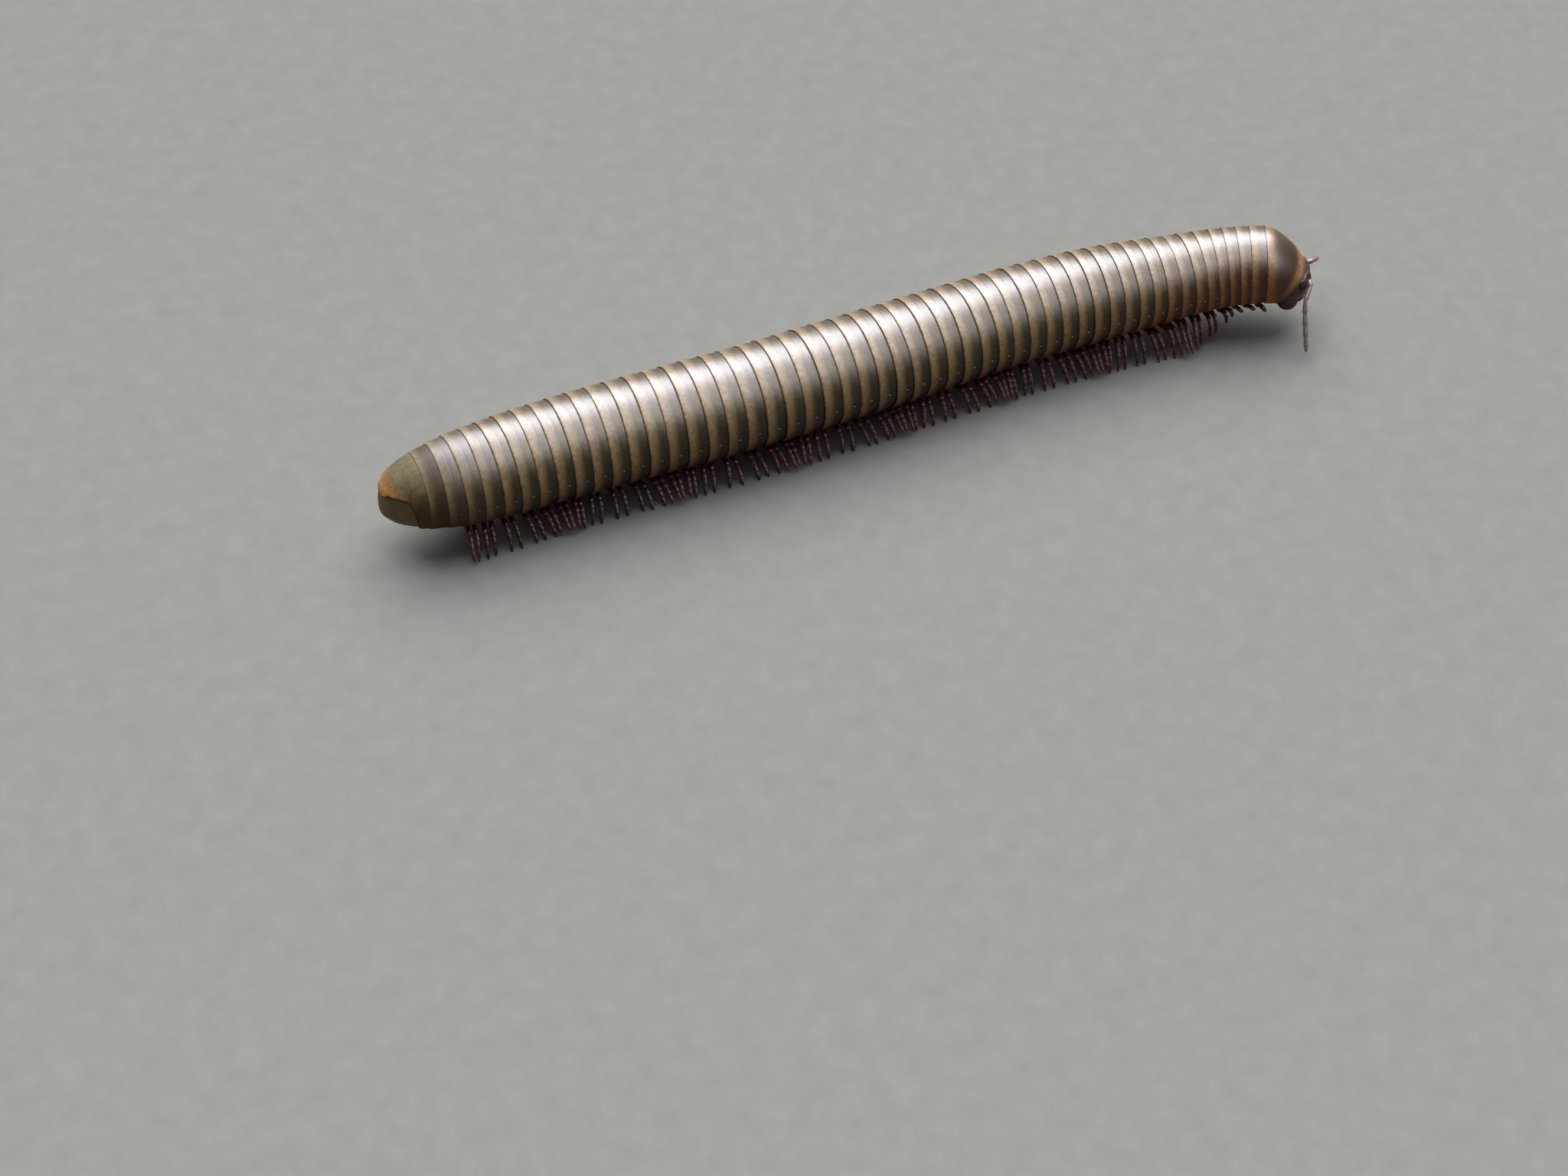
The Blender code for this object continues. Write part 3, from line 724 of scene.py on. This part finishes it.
def leg_joints(ring, share, side):
    """All the joints of a leg, from root to claw tip, on the spine."""
    root, hip, knee, foot = (place_at(d) @ Vector((0, y, z)) for d, y, z in leg_corners(ring, share, side))
    wander = [draw.uniform(-LEG_WANDER, LEG_WANDER) for _ in range(4)]
    knee += Vector((wander[0], 0, wander[1]))
    foot += Vector((wander[2], wander[3], 0))
    foot.z = max(foot.z, CLAW_TIP)
    outwards = place_at(MARGIN[ring]).to_3x3() @ Vector((0, side, 0.4))
    upper = hip.lerp(knee, UPPER_JOINT) + Vector((0, 0, UPPER_ARCH))
    lower = [knee.lerp(foot, along) + outwards * push for along, push in LOWER_JOINTS]
    return [root, hip, upper, knee, *lower, foot]


# %% Copy the legs
pattern_leg = straight_limb("pattern_leg", LEG_ARTICLE, len(LEG_RADII) - 1, CLAW_SECTION, LEG_SEGMENTS)


def make_leg(ring, share, side):
    made = copy_of(pattern_leg, "leg")
    thin = math.sqrt((MARGIN[ring - 1] - MARGIN[ring]) / FULL_PITCH)
    across = place_at(MARGIN[ring]).to_3x3() @ Vector((1, 0, 0))
    lay_on_joints(made, leg_joints(ring, share, side), [radius * thin for radius in LEG_RADII], across)
    return made


first = LEGLESS_RINGS
for number, count in enumerate(TRUNK_LENGTHS, 1):
    legs = []
    for ring in range(first, first + count):
        for share in ONE_PAIR if ring in SINGLE_PAIR_RINGS else TWO_PAIRS:
            legs += [make_leg(ring, share, side) for side in (-1, 1)]
    first += count
    joined = join(f"legs_of_trunk_{number}", *legs)
    finish_piece(joined, [f"trunk_{number}"], leg_finish)
    print(joined.name, len(legs), "legs", len(joined.data.polygons), "faces")
bpy.data.objects.remove(pattern_leg)

# %% [markdown]
# ## Head cuticle
#
# The head is warmer than the body: orange brown over the brow, darker where the jaws lie under it.

# %% Head material
head_finish, tree = new_material("head_cuticle_satin_chitin")
dark, brow = numbers_of(tree, "dark", "brow")
base = node(tree, "ValToRGB", (blotches(tree, 0.9),), stops=((0.3, "4A2A18"), (0.6, "603820")))
mottle = node(tree, "ValToRGB", (blotches(tree, 0.25),), stops=((0.3, "C4B8B0"), (0.7, "FFFFFF")))
base = layered(tree, base, (dark, colour("2E160C"), "MIX"), (brow, colour("B4784A"), "MIX"),
               (0.8, mottle, "MULTIPLY"))
rough = node(tree, "Math", (blotches(tree, 0.3), 0.12, 0.42), operation="MULTIPLY_ADD")
grain = node(tree, "Bump", {"Height": blotches(tree, 0.1, 2.0), "Strength": 0.15, "Distance": 0.03 * MM})
end_material(tree, {"Base Color": base, "Roughness": rough, "IOR": 1.54, "Specular IOR Level": 0.25,
                    "Normal": grain})
print("head finish", len(tree.nodes), "nodes")

# %% [markdown]
# ## The head
#
# The head hangs steeply under the shield. It is a rounded capsule with a bulging face, a lip with three
# small teeth along its lower edge, and two bulging jaw bases at its sides. Rounded balls are joined and
# remeshed into one skin, and furrows, sockets and teeth are then pressed into it, as a sculptor would.

# %% Head sizes in millimetres, in the shield's frame: forward, to the left, up
HEAD_CENTRE = (2.35, 0.0, -1.55)
HEAD_RADII = (2.1, 2.5, 2.45)
CHEEK_CENTRE = (2.2, 1.85, -2.7)
CHEEK_RADII = (1.05, 0.8, 1.3)
EYE_CENTRE = (3.62, 1.98, -0.95)
LIP_CENTRE = (3.25, 0.0, -3.45)
LIP_RADII = (0.8, 1.3, 0.75)
FACE_CENTRE = (3.35, 0.0, -2.45)
FACE_RADII = (1.0, 1.6, 1.1)
MOUTH_PLATE_CENTRE = (1.85, 0.0, -3.95)
MOUTH_PLATE_RADII = (1.3, 1.2, 0.5)
BROW_REACH = 0.7
BROW_FOOT = -1.6
BROW_RISE = 1.2
HEAD_VOXEL = 0.08


def ball(name, centre, radii):
    """A sphere stretched to three radii."""
    bpy.ops.mesh.primitive_ico_sphere_add(subdivisions=5, radius=1.0, location=centre, scale=radii)
    made = bpy.context.object
    made.name = name
    bpy.ops.object.transform_apply(location=True, rotation=False, scale=True)
    return made


def fused(name, *balls):
    """One skin over several overlapping balls."""
    made = join(name, *balls)
    apply_modifier(made, "REMESH", mode="VOXEL", voxel_size=HEAD_VOXEL)
    apply_modifier(made, "SMOOTH", factor=0.5, iterations=8)
    return made


def press(thing, depth_at):
    """Presses a skin in along its normals by depth_at, a function of its vertices. Less than 0 raises it."""
    places = vertices_of(thing)
    normals = np.empty(len(places) * 3, dtype=np.float32)
    thing.data.vertex_normals.foreach_get("vector", normals)
    move_vertices(thing, places - normals.reshape(-1, 3) * np.asarray(depth_at(places))[:, None])


def bump_at(values, middle, width):
    """A smooth bump, 1 at the middle and near 0 past the width."""
    return np.exp(-((values - middle) / width) ** 2)


# %% [markdown]
# The antennae leave the face from two sockets, each a shallow ring-shaped pit.

# %% Head capsule
SOCKET_DEPTH = 0.16
SOCKET_WIDTH = 0.42
SOCKET_RIM = 0.1
RIM_RADIUS = 0.68
FURROW_DEPTH = 0.07
LIP_LINE_DEPTH = 0.06
ANTENNA_RIGHT = ((4.2, -1.3, -1.0), (4.25, -2.05, -1.3), (3.75, -2.95, -2.0), (3.75, -4.2, -3.8),
                 (3.85, -5.7, -6.05))
ANTENNA_LEFT = ((4.2, 1.3, -1.0), (4.85, 1.6, -1.05), (5.25, 2.5, -1.6), (5.4, 4.2, -3.05), (5.6, 5.8, -4.5))
TOOTH_PITCH = 0.3


def on_head(direction, lift=0.0):
    """The point on the head's capsule in a direction from its centre, and the surface's normal there."""
    direction = Vector(direction)
    scaled = Vector([d / r for d, r in zip(direction, HEAD_RADII)])
    point = direction / scaled.length
    normal = Vector([p / r**2 for p, r in zip(point, HEAD_RADII)]).normalized()
    return Vector(HEAD_CENTRE) + point + normal * lift, normal


def face_relief(places):
    """How deep the head's furrows, sockets and lip lie."""
    x, y, z = (places - HEAD_CENTRE).T
    front = np.clip((x - 0.3) / 0.6, 0, 1)
    furrow = FURROW_DEPTH * bump_at(y, 0, 0.07) * np.clip((z - 0.1) / 0.4, 0, 1)
    lip_line = bump_at(z + 0.12 * y**2, -1.4, 0.09) * front * np.clip((1.5 - abs(y)) / 0.3, 0, 1)
    depth = furrow + LIP_LINE_DEPTH * lip_line
    for root in (ANTENNA_LEFT[0], ANTENNA_RIGHT[0]):
        socket = np.array(on_head(Vector(root) - Vector(HEAD_CENTRE))[0])
        away = np.linalg.norm(places - socket, axis=1)
        depth += SOCKET_DEPTH * bump_at(away, 0, SOCKET_WIDTH) - SOCKET_RIM * bump_at(away, RIM_RADIUS, 0.14)
    return depth


def lip_teeth(places):
    """How far the lip's lower edge is raised: a notch in the middle with three small teeth."""
    x, y, z = (places - HEAD_CENTRE).T
    edge = np.clip((-2.2 - z) / 0.25, 0, 1) * np.clip((x - 0.5) / 0.3, 0, 1)
    notch = np.clip(1 - abs(y) / (2.2 * TOOTH_PITCH), 0, 1)
    return edge * (0.3 * np.sqrt(notch) - 0.16 * notch * (1 + np.cos(math.tau * y / TOOTH_PITCH)) / 2)


head = fused("head_capsule", ball("capsule", HEAD_CENTRE, HEAD_RADII), ball("face", FACE_CENTRE, FACE_RADII),
             ball("lip", LIP_CENTRE, LIP_RADII))
press(head, face_relief)
places = vertices_of(head)
places[:, 2] += lip_teeth(places)
move_vertices(head, places)
paint(head, "dark", np.clip((-0.6 - places[:, 2] + HEAD_CENTRE[2]) / 1.2, 0, 0.8))
brow = np.clip(1.1 + before_slant(places) / BROW_REACH, 0, 0.85)
paint(head, "brow", brow * np.clip((places[:, 2] - BROW_FOOT) / BROW_RISE, 0, 1))
finish_piece(head, ["head"], head_finish, collum_place, smooth=60)
print("head", len(head.data.polygons), "faces")

# %% [markdown]
# ## Jaw bases and mouth plate
#
# Each jaw base is a bulging plate in two parts with a slanting seam between them. The mouth plate closes
# the head from below, and two seams divide it into a middle piece and two side lobes.

# %% Jaw bases and mouth plate
cheek_x, cheek_y, cheek_z = CHEEK_CENTRE
for word, side in (("left", 1), ("right", -1)):
    cheek = fused(f"jaw_base_{word}", ball("bulge", (cheek_x, side * cheek_y, cheek_z), CHEEK_RADII))
    press(cheek, lambda p: 0.07 * bump_at(p[:, 2] + 0.5 * (p[:, 0] - cheek_x), cheek_z + 0.35, 0.08))
    paint(cheek, "dark", np.clip(0.2 - (vertices_of(cheek)[:, 2] - cheek_z - 0.2) / 1.6, 0, 0.9))
    finish_piece(cheek, [f"cheek_{word}"], head_finish, collum_place, smooth=60)

mouth_plate = fused("mouth_plate_lobes", ball("plate", MOUTH_PLATE_CENTRE, MOUTH_PLATE_RADII))
press(mouth_plate, lambda p: 0.06 * bump_at(abs(p[:, 1]), 0.32 + 0.25 * (p[:, 0] - 1.6), 0.06)
      + 0.05 * bump_at(p[:, 0] - 0.3 * abs(p[:, 1]), 2.0, 0.06))
paint(mouth_plate, "dark", np.full(len(mouth_plate.data.vertices), 0.7))
finish_piece(mouth_plate, ["mouth_plate"], head_finish, collum_place, smooth=60)
print("jaw bases and mouth plate")

# %% [markdown]
# ## Eyes
#
# A millipede's eye is a patch of simple lenses, about forty to a side, set in close rows on a dark ground.
# One lens is modelled as a small ball. Its copies stand on the head's curve in a rounded patch. The lenses
# are clear chitin over black pigment, so the patch looks black with small soft glints.

# %% Eye material
eye_finish, tree = new_material("eye_lens_clear_black_chitin")
base = node(tree, "ValToRGB", (blotches(tree, 0.3),), stops=((0.3, "0A0908"), (0.7, "17120F")))
end_material(tree, {"Base Color": base, "Roughness": 0.3, "IOR": 1.56, "Specular IOR Level": 0.15})

# %% Eyes
LENS_PITCH = 0.135
LENS_ROW_STEP = 0.87
LENS_RADIUS = 0.066
LENS_LIFT = 0.085
LENS_ROWS = (4, 5, 6, 7, 6, 5, 4, 3)
EYE_GROUND = (0.56, 0.5, 0.1)

bpy.ops.mesh.primitive_uv_sphere_add(segments=10, ring_count=8, radius=LENS_RADIUS)
lens_pattern = bpy.context.object
lens_pattern.name = "pattern_lens"
for word, side in (("left", 1), ("right", -1)):
    eye_way = Vector(EYE_CENTRE) - Vector(HEAD_CENTRE)
    eye_way.y *= side
    middle, normal = on_head(eye_way)
    rows_way = Vector((0, 0, 1)).cross(normal).normalized() * side
    columns_way = normal.cross(rows_way)
    turn = normal.to_track_quat("Z", "Y").to_matrix().to_4x4()
    ground = ball("ground", (0, 0, 0), EYE_GROUND)
    ground.data.transform(Matrix.Translation(middle) @ turn)
    lenses = [ground]
    for row, count in enumerate(LENS_ROWS):
        for column in range(count):
            step = rows_way * (column - (count - 1) / 2)
            step += columns_way * (row - (len(LENS_ROWS) - 1) / 2) * LENS_ROW_STEP
            place, _ = on_head(eye_way + step * LENS_PITCH, LENS_LIFT)
            lens_copy = copy_of(lens_pattern, "lens")
            lens_copy.data.transform(Matrix.Translation(place))
            lenses.append(lens_copy)
    patch = join(f"eye_{word}_patch", *lenses)
    finish_piece(patch, [f"eye_{word}"], eye_finish, collum_place, smooth=60)
    print(patch.name, len(lenses) - 1, "lenses")
bpy.data.objects.remove(lens_pattern)

# %% [markdown]
# ## Antennae
#
# An antenna has seven articles, slim at the root and club-shaped further out, and it ends in four tiny
# sense cones. It hangs in a smooth bow, so the joints are set at listed shares of the way along a curve.

# %% Antennae
ANTENNA_ARTICLE = ((0.02, 0.74), (0.12, 0.8), (0.4, 0.9), (0.72, 1.0), (0.9, 1.0), (0.975, 0.8))
ANTENNA_TIP = ((0.02, 0.75), (0.2, 0.95), (0.6, 0.85), (0.85, 0.55), (1.0, 0.25))
ANTENNA_JOINTS = (0.0, 0.09, 0.3, 0.48, 0.64, 0.8, 0.94, 1.0)
ANTENNA_JOINT_RADII = (0.3, 0.24, 0.23, 0.23, 0.24, 0.24, 0.21, 0.14)
CONE_RADIUS = 0.045
CONE_LENGTH = 0.12
CONE_COUNT = 4
CONE_SPREAD = 1.3
CURVE_STEPS = 60

# Fine down on the articles makes them paler and duller than the legs
antenna_finish, tree = new_material("antenna_cuticle_downy_chitin")
base = node(tree, "ValToRGB", numbers_of(tree, "joint"), stops=(
    (0.0, "B09484"), (0.15, "866A5C"), (0.85, "8E7264"), (1.0, "B29A8A")))
end_material(tree, {"Base Color": base, "Roughness": 0.5, "IOR": 1.5, "Specular IOR Level": 0.25})

antenna_pattern = straight_limb("pattern_antenna", ANTENNA_ARTICLE, len(ANTENNA_JOINTS) - 1, ANTENNA_TIP, 16)


def curve_through(points):
    """Evenly spaced points along a smooth curve through a few points."""
    points = np.array(points)
    reach = reach_along(points)
    dense = np.array([[smooth_between(list(zip(reach, points[:, k])), s) for k in range(3)]
                      for s in np.linspace(0, reach[-1], CURVE_STEPS)])
    reach = reach_along(dense)
    return lambda share: Vector([np.interp(share * reach[-1], reach, dense[:, k]) for k in range(3)])


for word, points in (("left", ANTENNA_LEFT), ("right", ANTENNA_RIGHT)):
    at = curve_through(points)
    antenna = copy_of(antenna_pattern, "articles")
    lay_on_joints(antenna, [at(share) for share in ANTENNA_JOINTS], ANTENNA_JOINT_RADII, (1, 0, 0))
    heading = (at(1.0) - at(0.97)).normalized()
    turn = heading.to_track_quat("Z", "Y").to_matrix().to_4x4()
    pieces = [antenna]
    for k in range(CONE_COUNT):
        bpy.ops.mesh.primitive_cone_add(vertices=8, radius1=CONE_RADIUS, radius2=CONE_RADIUS / 3,
                                        depth=CONE_LENGTH)
        cone = bpy.context.object
        angle = math.tau * k / CONE_COUNT
        spot = Vector((math.cos(angle), math.sin(angle), 0)) * CONE_RADIUS * CONE_SPREAD
        cone.data.transform(Matrix.Translation(at(1.0)) @ turn @ Matrix.Translation(spot))
        cone.matrix_world = Matrix.Identity(4)
        pieces.append(cone)
    antenna = join(f"antenna_{word}_articles", *pieces)
    finish_piece(antenna, [f"antenna_{word}"], antenna_finish, collum_place, smooth=50)
    print(antenna.name, len(antenna.data.polygons), "faces")
bpy.data.objects.remove(antenna_pattern)

# %% [markdown]
# ## The tail
#
# Behind the last ring comes the telson. Its hood covers the back and runs out to a blunt point over two
# smooth valves, which meet on the midline and close the body. The hood is turned as a thick dome, and the
# space for the valves is cut from it with a Boolean along a smooth edge.

# %% Tail sizes in millimetres, in the tail tip's frame
TELSON_PROFILE = ((0.3, 0.0), (0.4, 1.0), (0.8, 1.74), (1.4, 2.4), (2.3, 2.92), (3.4, 3.34))
TELSON_FRONT = 0.985
TELSON_STATIONS = 30
TELSON_SHIFT = 0.6
TELSON_POLE = 0.02
TIP_RISE = 0.6
TIP_LENGTH = 2.6
VALVE_BULGE = 0.55
VALVE_MIDDLE = 1.2
HOOD_WALL = 0.3
HOOD_TUCKED = 0.6
HOOD_DULLING = 0.9
HOOD_MARGIN = 0.8
HOOD_GLOW_REACH = 1.6
# Painted shade on the hood, downwards: (height where it starts, its rise along the hood, share for each
# millimetre)
HOOD_PAINTED_SHADE = (2.85, 0.5, 0.125)
# Painted shadow at its root: (start along it, over how far, below what height, over how far, at most)
HOOD_ROOT_PAINTED_SHADOW = (1.8, 1.8, 3.0, 3.2, 0.45)
HOOD_EDGE = ((0.0, 1.15), (0.33, 1.25), (0.8, 1.65), (1.6, 1.7), (2.2, 1.55), (2.55, 0.8), (2.85, -0.8),
             (3.05, -2.0), (3.2, -3.2), (3.25, -4.5))
HOOD_INSIDE = ((-2.0, -4.5), (-2.0, 1.15))
VALVE_SUNK = 0.13
VALVE_SHORT = 0.4
VALVE_GAP = 0.05
VALVE_SPLIT = 0.03

# %% Tail shapes


def telson_shell(name, inwards, front):
    """A dome turned on the tail's profile, some way inside it, out to a distance from the tip."""
    shift = inwards * TELSON_SHIFT
    start = TELSON_PROFILE[0][0] + 0.002 + shift
    reach = [1 - math.cos(math.pi / 2 * k / TELSON_STATIONS) for k in range(TELSON_STATIONS + 1)]
    profile = (*TELSON_PROFILE, (TELSON_LENGTH, ring_radius(RING_COUNT) * TELSON_FRONT))
    section = [(x, max(TELSON_POLE, smooth_between(profile, x - shift) - inwards))
               for x in (start + (front - start) * r for r in reach)]
    made = turned_shell(name, section[::-1], RING_SEGMENTS)
    places = vertices_of(made)
    near_tip = np.maximum(0, 1 - places[:, 0] / TIP_LENGTH) ** 2
    below = np.clip(-places[:, 2] / VALVE_MIDDLE, 0, 1)
    places[:, 0] -= VALVE_BULGE * near_tip * below
    places[:, 2] += TIP_RISE * near_tip * (1 - below)
    move_vertices(made, places)
    return made


def hood_cutter(name, shrink):
    """A block across the body whose front face is the hood's edge."""
    line = bpy.data.curves.new(name, "CURVE")
    line.dimensions = "2D"
    line.fill_mode = "BOTH"
    line.extrude = 6.0
    path = line.splines.new("POLY")
    corners = [(x - shrink, z - shrink * (1 if x < 2.4 else 0)) for x, z in HOOD_EDGE] + list(HOOD_INSIDE)
    path.points.add(len(corners) - 1)
    for target, (x, z) in zip(path.points, corners):
        target.co = (x, z, 0, 1)
    path.use_cyclic_u = True
    made = bpy.data.objects.new(name, line)
    bpy.context.scene.collection.objects.link(made)
    choose(made)
    bpy.ops.object.convert(target="MESH")
    made = bpy.context.object
    made.data.transform(Matrix.Rotation(math.pi / 2, 4, "X"))
    tidy_shell(made)
    return made


def cut(thing, cutter, operation):
    apply_modifier(thing, "BOOLEAN", object=cutter, operation=operation, solver="EXACT")
    bpy.data.objects.remove(cutter)


# %% [markdown]
# The hood has the ring's finish, worn nearly matt. Its edge is orange at the tip, and painted shade darkens
# it downwards and towards its root. Each vertex gets these numbers from its place and its distance to the
# edge line.

# %% Hood
hood = telson_shell("telson_hood_dome", 0.0, TELSON_LENGTH + HOOD_TUCKED)
tidy_shell(hood, 0.03)
apply_modifier(hood, "SOLIDIFY", thickness=HOOD_WALL, offset=-1.0)
cut(hood, hood_cutter("valve_space", 0.0), "DIFFERENCE")
round_edges(hood, 0.06)
places = vertices_of(hood)
edge_line = np.array(HOOD_EDGE)
steps = np.linspace(0, len(edge_line) - 1, 200)
edge_line = np.array([[np.interp(s, range(len(edge_line)), edge_line[:, k]) for k in (0, 1)] for s in steps])
from_edge = np.linalg.norm(places[:, None, ::2] - edge_line[None], axis=2).min(1)
near_tip = np.clip(1.5 - places[:, 0] / HOOD_GLOW_REACH, 0, 1)
# Painted shade darkens the hood downwards, and a painted shadow darkens its root under the last ring's rim.
start, rise, fall = HOOD_PAINTED_SHADE
shade = (start + rise * np.clip(places[:, 0] - 0.4, 0, 2) - places[:, 2]) * fall
root_x, root_reach, root_z, root_fall, root_most = HOOD_ROOT_PAINTED_SHADOW
root_painted_shadow = np.clip((places[:, 0] - root_x) / root_reach, 0, 1)
root_painted_shadow *= np.clip((root_z - places[:, 2]) / root_fall, 0, root_most)
# On the hood, the band's share carries this painted shade and painted shadow.
paint_ring(hood, RING_COUNT + 1, places, ring_radius(RING_COUNT),
           np.clip(np.maximum(shade, root_painted_shadow), 0.1, 0.8),
           np.clip(1.2 - from_edge / HOOD_MARGIN, 0, 0.9) * near_tip, HOOD_DULLING)
tail_place = place_at(0.0)
finish_piece(hood, ["telson_hood"], worn_finish, tail_place)
print("hood", len(hood.data.polygons), "faces")

# %% [markdown]
# ## The valves
#
# The valves are the same dome a little further in, trimmed to the hood's edge and split down the middle.
# They are plain brown chitin, without bands and less polished than the rings.

# %% Valves
valve_finish, tree = new_material("valve_cuticle_smooth_chitin")
base = node(tree, "ValToRGB", (blotches(tree, 0.8),), stops=((0.3, "5C4A2A"), (0.7, "6E5A34")))
end_material(tree, {"Base Color": base, "Roughness": 0.5, "IOR": 1.54, "Specular IOR Level": 0.2})

valves = telson_shell("valves", VALVE_SUNK, TELSON_LENGTH - VALVE_SHORT)
edit(valves, "EDGE")
pick(valves, lambda m: m.x > TELSON_LENGTH - VALVE_SHORT - 0.05)
bpy.ops.mesh.edge_face_add()
leave_edit()
tidy_shell(valves, 0.03)
cut(valves, hood_cutter("valve_space", VALVE_GAP), "INTERSECT")
for word, side in (("left", 1), ("right", -1)):
    valve = copy_of(valves, f"valve_{word}")
    edit(valve)
    bpy.ops.mesh.select_all(action="SELECT")
    bpy.ops.mesh.bisect(plane_co=(0, side * VALVE_SPLIT, 0), plane_no=(0, -side, 0), use_fill=True,
                        clear_outer=True)
    leave_edit()
    tidy_shell(valve)
    round_edges(valve, 0.07)
    finish_piece(valve, [f"anal_valve_{word}"], valve_finish, tail_place)
    print(valve.name, len(valve.data.polygons), "faces")
bpy.data.objects.remove(valves)

# %% [markdown]
# ## The floor, the light and the camera
#
# The photo looks down on the animal from its right and from behind. A bright overcast sky behind and above
# it lies as a wide pale gloss along the back, and the side towards the camera stays dark.

# %% Floor
FLOOR_SIZE = 40.0

bpy.ops.mesh.primitive_plane_add(size=FLOOR_SIZE, location=(0, 0, 0))
floor = bpy.context.object
floor.name = "floor"
# A pale matt board, in the mean tone of the grey wood that the animal walks on
floor_finish, tree = new_material("pale_floor")
base = node(tree, "ValToRGB", (blotches(tree, 2.0, 5.0),), stops=((0.3, "A8A9A2"), (0.7, "B0B1AA")))
end_material(tree, {"Base Color": base, "Roughness": 0.9, "Specular IOR Level": 0.0})
floor.data.materials.append(floor_finish)

# %% Lights
SKY_DISTANCE = 400.0
SKY_TINT = (0.84, 0.88, 1.0)
# Each pane of bright sky: (name, way from the animal, width and depth in millimetres, radiance)
SKY_PANES = (("gloss_behind", (0.255, 0.595, 0.762), (620, 260), 37.0),
             ("gloss_above", (0.255, -0.03, 0.966), (620, 290), 15.0),
             ("gloss_front", (0.64, -0.5, 0.58), (260, 260), 9.0))


def sky_pane(name, towards, size, radiance):
    """A flat soft light that faces the animal and shows in its gloss alone."""
    towards = Vector(towards).normalized()
    lamp = bpy.data.lights.new(name, "AREA")
    lamp.shape = "RECTANGLE"
    lamp.size, lamp.size_y = (s * MM for s in size)
    lamp.energy = radiance * math.pi * lamp.size * lamp.size_y
    lamp.color = SKY_TINT
    made = bpy.data.objects.new(name, lamp)
    bpy.context.scene.collection.objects.link(made)
    made.location = towards * SKY_DISTANCE * MM
    made.rotation_euler = towards.to_track_quat("Z", "Y").to_euler()
    made.visible_camera = False
    made.visible_diffuse = False


overcast = bpy.data.lights.new("overcast_sky", "SUN")
overcast.energy = 2.8
overcast.angle = math.radians(75)
overcast.color = (0.98, 0.97, 1.0)
sky = bpy.data.objects.new("overcast_sky", overcast)
bpy.context.scene.collection.objects.link(sky)
sky.rotation_euler = Vector((0.12, 0.42, 0.9)).to_track_quat("Z", "Y").to_euler()
for name, towards, size, radiance in SKY_PANES:
    sky_pane(name, towards, size, radiance)
print(len(SKY_PANES), "panes of sky")

# %% Surroundings
world = bpy.data.worlds.new("dim_surroundings")
world.use_nodes = True
tree = world.node_tree
sky_height = node(tree, "SeparateXYZ", (node(tree, "TexCoord", out="Generated"),), out="Z")
glow = node(tree, "ValToRGB", (sky_height,), stops=((0.0, "161310"), (0.3, "221F1A"), (1.0, "7C8088")))
backdrop = layered(tree, glow, (node(tree, "LightPath", out="Is Camera Ray"), colour("A3A49F"), "MIX"))
tree.links.new(backdrop, tree.nodes["Background"].inputs["Color"])
tree.nodes["Background"].inputs["Strength"].default_value = 1.0
bpy.context.scene.world = world

# %% Camera
CAMERA_PLACE = (-88.72, -205.54, 216.77)
CAMERA_TURN = 21.99
CAMERA_DIP = 47.0
CAMERA_LENS = 77.0

lens = bpy.data.cameras.new("camera")
lens.sensor_width = 36.0
lens.lens = CAMERA_LENS
lens.clip_start = 0.01
camera = bpy.data.objects.new("camera", lens)
bpy.context.scene.collection.objects.link(camera)
camera.location = (Vector(CAMERA_PLACE) + shift) * MM
camera.rotation_euler = (math.radians(90 - CAMERA_DIP), 0, math.radians(-CAMERA_TURN))
bpy.context.scene.camera = camera
bpy.context.scene.view_settings.view_transform = "Standard"
